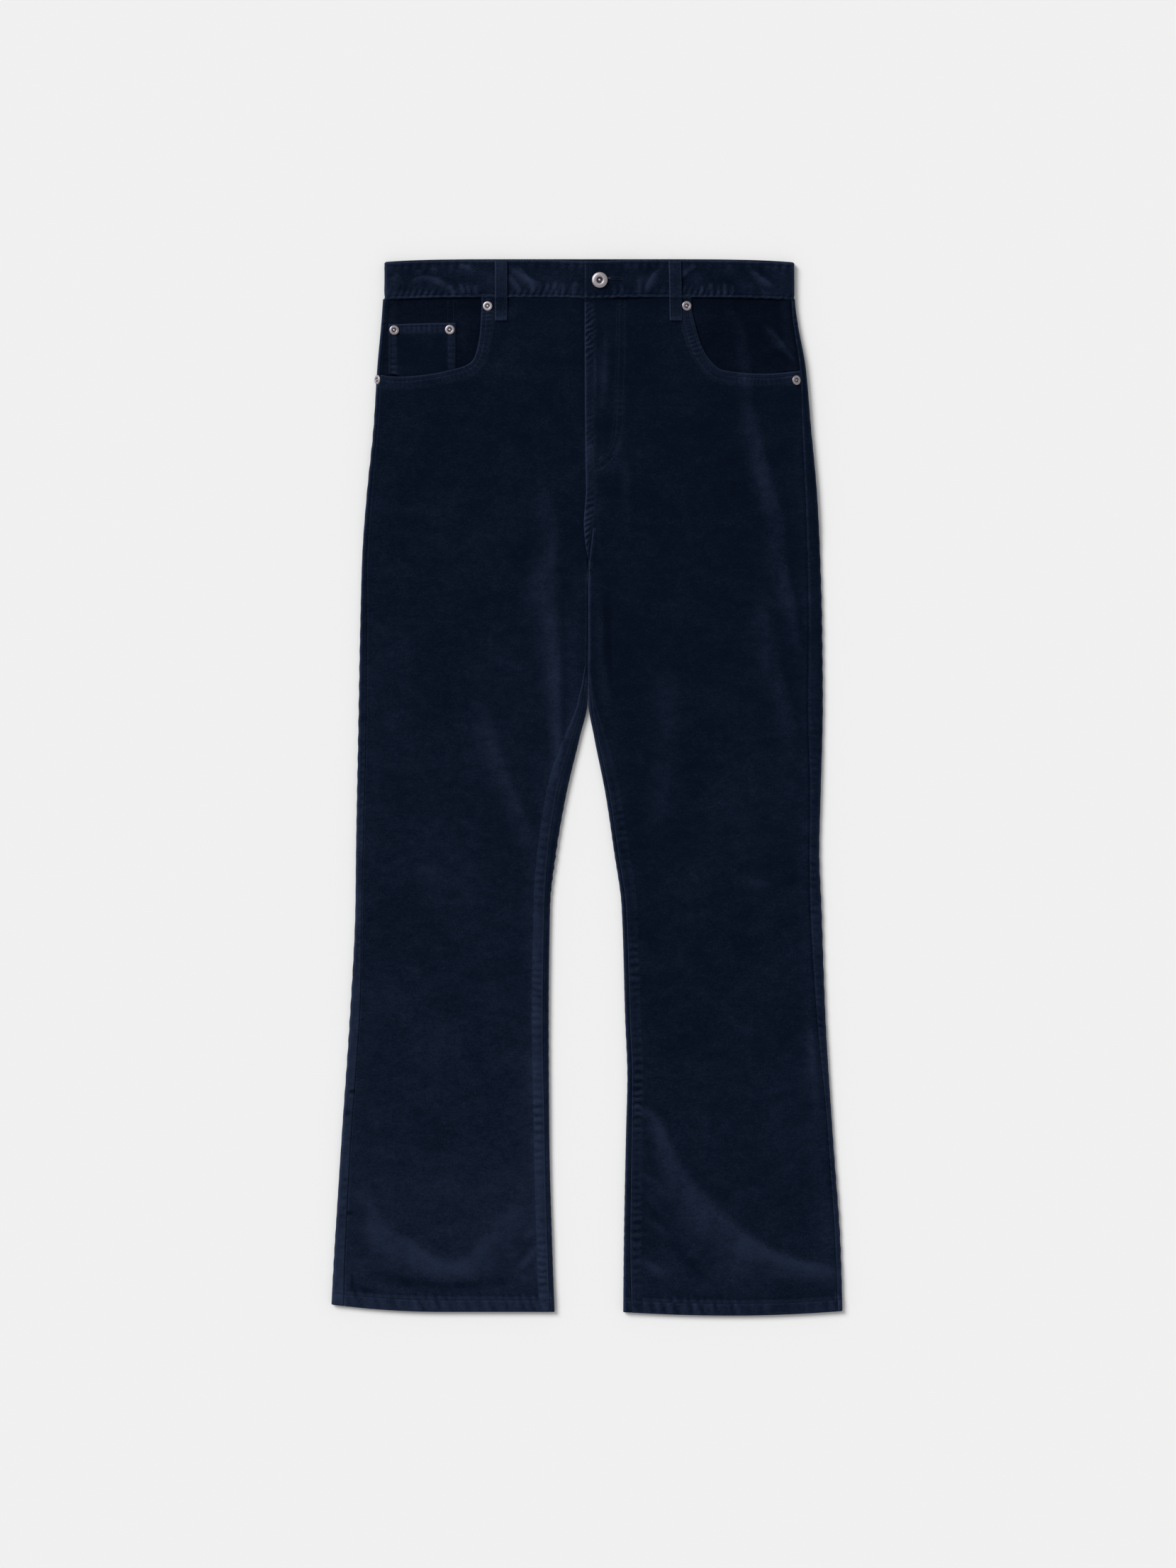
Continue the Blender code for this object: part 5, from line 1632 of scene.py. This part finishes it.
def add_stitches(bm, line, up, lift=0.1, length=None, thick=None, look_up=True):
    """Adds stitches end to end along a line of (x, down) points, lying at the heights of `up`."""
    sewing = bpy.context.scene.jeans_sewing
    step = (length or sewing.stitch) / MM
    line = even_steps(np.asarray(line, float), step)
    heights = up(line[:, 0], line[:, 1]) + (lift if look_up else -lift)
    points = place(line[:, 0], line[:, 1], heights)
    radius = (thick or sewing.thread) / 2
    for a, b in zip(points, points[1:]):
        run = Vector(b - a)
        middle = Vector((a + b) / 2)
        turn = run.to_track_quat("X", "Z").to_matrix().to_4x4()
        size = Matrix.Diagonal((run.length * 0.36, radius, radius * 0.8, 1))
        seat = Matrix.Translation(middle) @ turn @ size
        bmesh.ops.create_icosphere(bm, subdivisions=1, radius=1.0, matrix=seat)


def offset_line(line, offset, turn):
    """A line beside another, to its left, or right where turn is -1."""
    return line + sideways(line) * turn * offset


def sew(name, lines, colour=None):
    """Makes one piece of stitching from lines with their heights and further settings."""
    bm = bmesh.new()
    for line in lines:
        add_stitches(bm, *line[:2], **(line[2] if len(line) > 2 else {}))
    if colour:
        thread = thread_material("Thread pale", colour)
    else:
        thread = thread_material("Thread", bpy.context.scene.jeans_sewing.colour)
    finish_piece(name, bm, thread, "velvet", wall=0)


def welt_up(leg, profile, offset):
    """Height of the thread in a welt's groove."""
    rise = rise_of(profile, offset)
    base = panel_base(leg)
    return lambda x, down: base(x, down) + rise


def front_sewing():
    """The stitching of the scoops, the inseams, the hems and the fly."""
    lines = []
    for leg in LEGS:
        for offset in SCOOP_SEWING:
            line = offset_line(scoop_line(leg), offset, -leg.sign)
            line = line[(line[:, 1] > 44) & (leg.sign * line[:, 0] < outer_edge(leg, 122) - 1)]
            lines.append((line, welt_up(leg, SCOOP_WELT, offset)))
        line = offset_line(inseam_line(leg, INSEAM_TOP + 30), INSEAM_SEWING, leg.sign)
        lines.append((line, welt_up(leg, INSEAM_WELT, INSEAM_SEWING)))
        lines.append((hem_line(leg), panel_base(leg)))
    edge = fly_line()
    lines.append((offset_line(edge, FLY_SEWING, 1)[:-8], welt_up(RIGHT, FLY_WELT, FLY_SEWING)))
    for offset in CURVE_SEWING:
        lines.append((offset_line(fly_curve(), offset, 1)[:-3], welt_up(RIGHT, LINES_WELT, offset)))
    return lines


def hem_line(leg):
    """The hem's stitching across the top, from fold edge to fold edge."""
    down = HEM - HEM_TURN + 1
    outer = float(edge_at(leg.side, down)) - FOLD_R
    inner = float(edge_at(leg.inseam, down)) + FOLD_R
    return line_of(leg.sign * np.linspace(outer, inner, 90), down)


def band_plain(x, down):
    """Height of the waistband's front for what is sewn on it."""
    x = np.asarray(x, float)
    return np.where(np.abs(x) < 40, band_up(np.zeros(x.shape)), band_up(x))


def band_lapped(x, down):
    """The same where the right end laps over the left one."""
    return band_plain(x, down) + (BAND + GAP) * fade(x, *LAP_SLOPE)


def at_level(height):
    """One height all along a line."""
    return lambda x, down: np.full(np.shape(x), height)


def band_sewing():
    """The stitching along both edges of the waistband, round it, and down its lapped end."""
    lines = []
    left, right, lap = LEFT.side[0][1] - 2, RIGHT.side[0][1] - 2, FLY + 3.4
    for down, lift in ((BAND_TOP + 3.2, -0.28), (BAND_LOW - 3.0, -0.16)):
        for start, end, up in ((-left, FLY - 0.5, band_plain), (lap, right, band_lapped)):
            x = np.linspace(start, end, 60)
            lines.append((line_of(x, down + band_sag(x)), up, {"lift": lift + 0.1}))
        behind = line_of(np.linspace(-left, right, 60), down - 0.8)
        lines.append((behind, at_level(SEAT_LIFT), {"lift": -0.12, "look_up": False}))
    end = line_of(lap, np.linspace(BAND_TOP + 3, BAND_LOW - 3, 20))
    lines.append((end, band_lapped, {"lift": -0.14}))
    return lines


def loop_sewing():
    """The two rows of stitches down each belt loop."""
    lines = []
    for loop in LOOPS:
        down = np.linspace(LOOP_TOP + 1.5, LOOP_LOW - 1.5, 30)
        for offset in LOOP_SEWING:
            line = line_of(loop_centre(loop, down) + offset, down)
            height = lambda x, d, loop=loop, offset=offset: loop_up(loop, d, np.full(np.shape(d), offset))
            lines.append((line, height, {"lift": 0.06, "look_up": not loop.behind}))
    return lines


def tack(start, end, count, reach, up, lift):
    """A row of close short stitches across a line from start to end."""
    start, end = np.array(start, float), np.array(end, float)
    run = (end - start) / np.hypot(*(end - start))
    across = np.array([run[1], -run[0]]) * reach / 2
    lines = []
    for share in np.linspace(0, 1, count):
        middle = start + (end - start) * share
        lines.append((np.stack([middle - across, middle + across + run * 0.25]), up,
                      {"lift": lift, "length": reach * MM, "thick": 0.5 * MM}))
    return lines


def tacks():
    """The bar tacks at the fly and on the front loops, and the buttonhole."""
    lines = tack((24.5, 19.2), (37.5, 19.6), 17, 1.5, band_lapped, -0.10)
    lines += tack((23.0, 21.6), (37.5, 22.0), 19, 1.5, band_lapped, -0.10)
    lines += tack((37.9, 19.6), (38.1, 22.0), 4, 1.8, band_lapped, -0.08)
    lines += tack((8.4, 220.2), (0.2, 230.5), 16, 2.2, panel_base(RIGHT), 0.95)
    for loop in LOOPS[:2]:
        height = lambda x, d, loop=loop: loop_up(loop, d, x - loop_centre(loop, d))
        low, high = float(loop_centre(loop, 63.0)), float(loop_centre(loop, 4.0))
        lines += tack((low - 5.6, 62.8), (low + 5.6, 62.8), 17, 1.9, height, 0.10)
        lines += tack((high - 5.6, 4.2), (high + 5.6, 4.2), 17, 1.7, height, 0.08)
    return lines


def pocket_sewing():
    """The stitching of the coin pocket, the facing above it and the patch pockets."""
    lines = []
    coin = lambda x, d: coin_up(LEFT, -x, d)
    for below in COIN_TOP_SEWING:
        across = np.linspace(COIN_OUTER - 2.5, COIN_INNER + 2.5, 30)
        lines.append((line_of(-across, COIN_TOP + below), coin, {"lift": -0.05}))
    first, second = COIN_SIDE_SEWING
    for side in (COIN_OUTER - first, COIN_OUTER - second, COIN_INNER + first, COIN_INNER + second):
        low = float(facing_low(LEFT, side, float(outer_edge(LEFT, 125.0)))) - 5
        down = np.linspace(COIN_TOP + 3.5, low, 24)
        lines.append((line_of(-side, down), coin, {"lift": -0.05}))
    facing = lambda x, d: facing_up(LEFT, -x, d)
    for across in (149.0, 143.3):
        down = np.linspace(43.5, COIN_TOP - 0.5, 14)
        lines.append((line_of(-across, down), facing, {"lift": 0.05}))
    for leg in LEGS:
        for inset in PATCH_SEWING:
            corners = back_pocket_outline(leg, inset)
            for a, b in zip(corners, corners[1:]):
                lines.append((np.linspace(a, b, 20), at_level(0.42), {"lift": 0.0, "look_up": False}))
    return lines


def back_sewing():
    """The stitching above the yoke seam and beside the centre-back seam."""
    lines = []
    for above in YOKE_SEWING:
        for start, end in ((-214, 0.4), (0.4, 214)):
            x = np.linspace(start, end, 40)
            line = line_of(x, yoke_seam(x) - above)
            lines.append((line, at_level(SEAT_LIFT + 0.25), {"lift": 0.15, "look_up": False}))
        line = line_of(1.0 + above, np.linspace(100, 296, 60))
        lines.append((line, lambda x, d: seat_lift(d), {"lift": 0.1, "look_up": False}))
    return lines


class JEANS_OT_sewing(bpy.types.Operator):
    """Sew the tonal stitching, the bar tacks and the buttonhole"""
    bl_idname = "jeans.sewing"
    bl_label = "Sewing"

    def execute(self, context):
        for name, lines in (("fronts", front_sewing()), ("band", band_sewing()), ("loops", loop_sewing()),
                            ("pockets", pocket_sewing()), ("back", back_sewing()), ("tacks", tacks())):
            sew("stitching_" + name, lines)
        buttonhole = tack((22.2, 20.3), (24.6, 20.4), 5, 1.3, band_lapped, 0.1)
        sew("stitching_buttonhole", buttonhole, PALE_THREAD)
        return {"FINISHED"}


# ---- stage

class JEANS_OT_stage(bpy.types.Operator):
    """Lay the pale floor, set the lights and the camera straight above"""
    bl_idname = "jeans.stage"
    bl_label = "Stage"

    def execute(self, context):
        settings = context.scene.jeans_stage
        bm = bmesh.new()
        bmesh.ops.create_grid(bm, x_segments=1, y_segments=1, size=FLOOR_HALF)
        mesh = bpy.data.meshes.new("floor")
        bm.to_mesh(mesh)
        bm.free()
        floor = bpy.data.objects.new("floor", mesh)
        context.scene.collection.objects.link(floor)
        floor.location.z = -FLOOR_GAP
        paint = bpy.data.materials.new("Floor")
        paint.use_nodes = True
        adjust(paint.node_tree.nodes["Principled BSDF"], Base_Color=(*settings.floor, 1), Roughness=0.95,
               Specular_IOR_Level=0.1)
        mesh.materials.append(paint)

        world = bpy.data.worlds.get("World") or bpy.data.worlds.new("World")
        context.scene.world = world
        world.use_nodes = True
        adjust(world.node_tree.nodes["Background"], Color=(1, 1, 1, 1), Strength=settings.fill)
        lamp = bpy.data.lights.new("key", "SUN")
        lamp.energy = settings.key
        lamp.angle = math.radians(KEY_WIDTH)
        key = bpy.data.objects.new("key", lamp)
        key.location = KEY_PLACE
        key.rotation_euler = (Vector((0, 0, 0)) - key.location).to_track_quat("-Z", "Y").to_euler()
        context.scene.collection.objects.link(key)

        camera = bpy.data.cameras.new("camera")
        camera.lens = LENS
        camera.sensor_fit = "AUTO"
        viewer = bpy.data.objects.new("camera", camera)
        pixel = PIXEL * MM
        height = PHOTO_ROWS * pixel * camera.lens / camera.sensor_width + CLOTH_MIDDLE
        viewer.location = (CENTRE_SHIFT * pixel, TOP_Y * MM - (PHOTO_ROWS / 2 - WAIST_ROW) * pixel, height)
        context.scene.collection.objects.link(viewer)
        context.scene.camera = viewer
        context.scene.view_settings.view_transform = "Standard"
        return {"FINISHED"}


class JEANS_PT_panel(bpy.types.Panel):
    bl_idname = "JEANS_PT_panel"
    bl_label = "Velvet jeans"
    bl_space_type = "VIEW_3D"
    bl_region_type = "UI"
    bl_category = "Jeans"

    def draw(self, context):
        for group in (context.scene.jeans_cloth, context.scene.jeans_sewing, context.scene.jeans_metal,
                      context.scene.jeans_stage):
            box = self.layout.box()
            for name in group.__annotations__:
                box.prop(group, name)
        for operator in OPERATORS:
            self.layout.operator(operator.bl_idname)


GROUPS = {
    "jeans_cloth": JeansCloth,
    "jeans_sewing": JeansSewing,
    "jeans_metal": JeansMetal,
    "jeans_stage": JeansStage,
}
OPERATORS = (
    JEANS_OT_stage, JEANS_OT_backs, JEANS_OT_yokes, JEANS_OT_fronts, JEANS_OT_pockets, JEANS_OT_waistband,
    JEANS_OT_loops, JEANS_OT_hems, JEANS_OT_metal, JEANS_OT_sewing,
)


def register():
    for made in (*GROUPS.values(), *OPERATORS, JEANS_PT_panel):
        bpy.utils.register_class(made)
    for name, group in GROUPS.items():
        setattr(bpy.types.Scene, name, bpy.props.PointerProperty(type=group))


def unregister():
    for name in GROUPS:
        delattr(bpy.types.Scene, name)
    for made in reversed((*GROUPS.values(), *OPERATORS, JEANS_PT_panel)):
        bpy.utils.unregister_class(made)


def main():
    register()
    for operator in OPERATORS:
        group, name = operator.bl_idname.split(".")
        getattr(getattr(bpy.ops, group), name)()


if __name__ == "__main__":
    main()
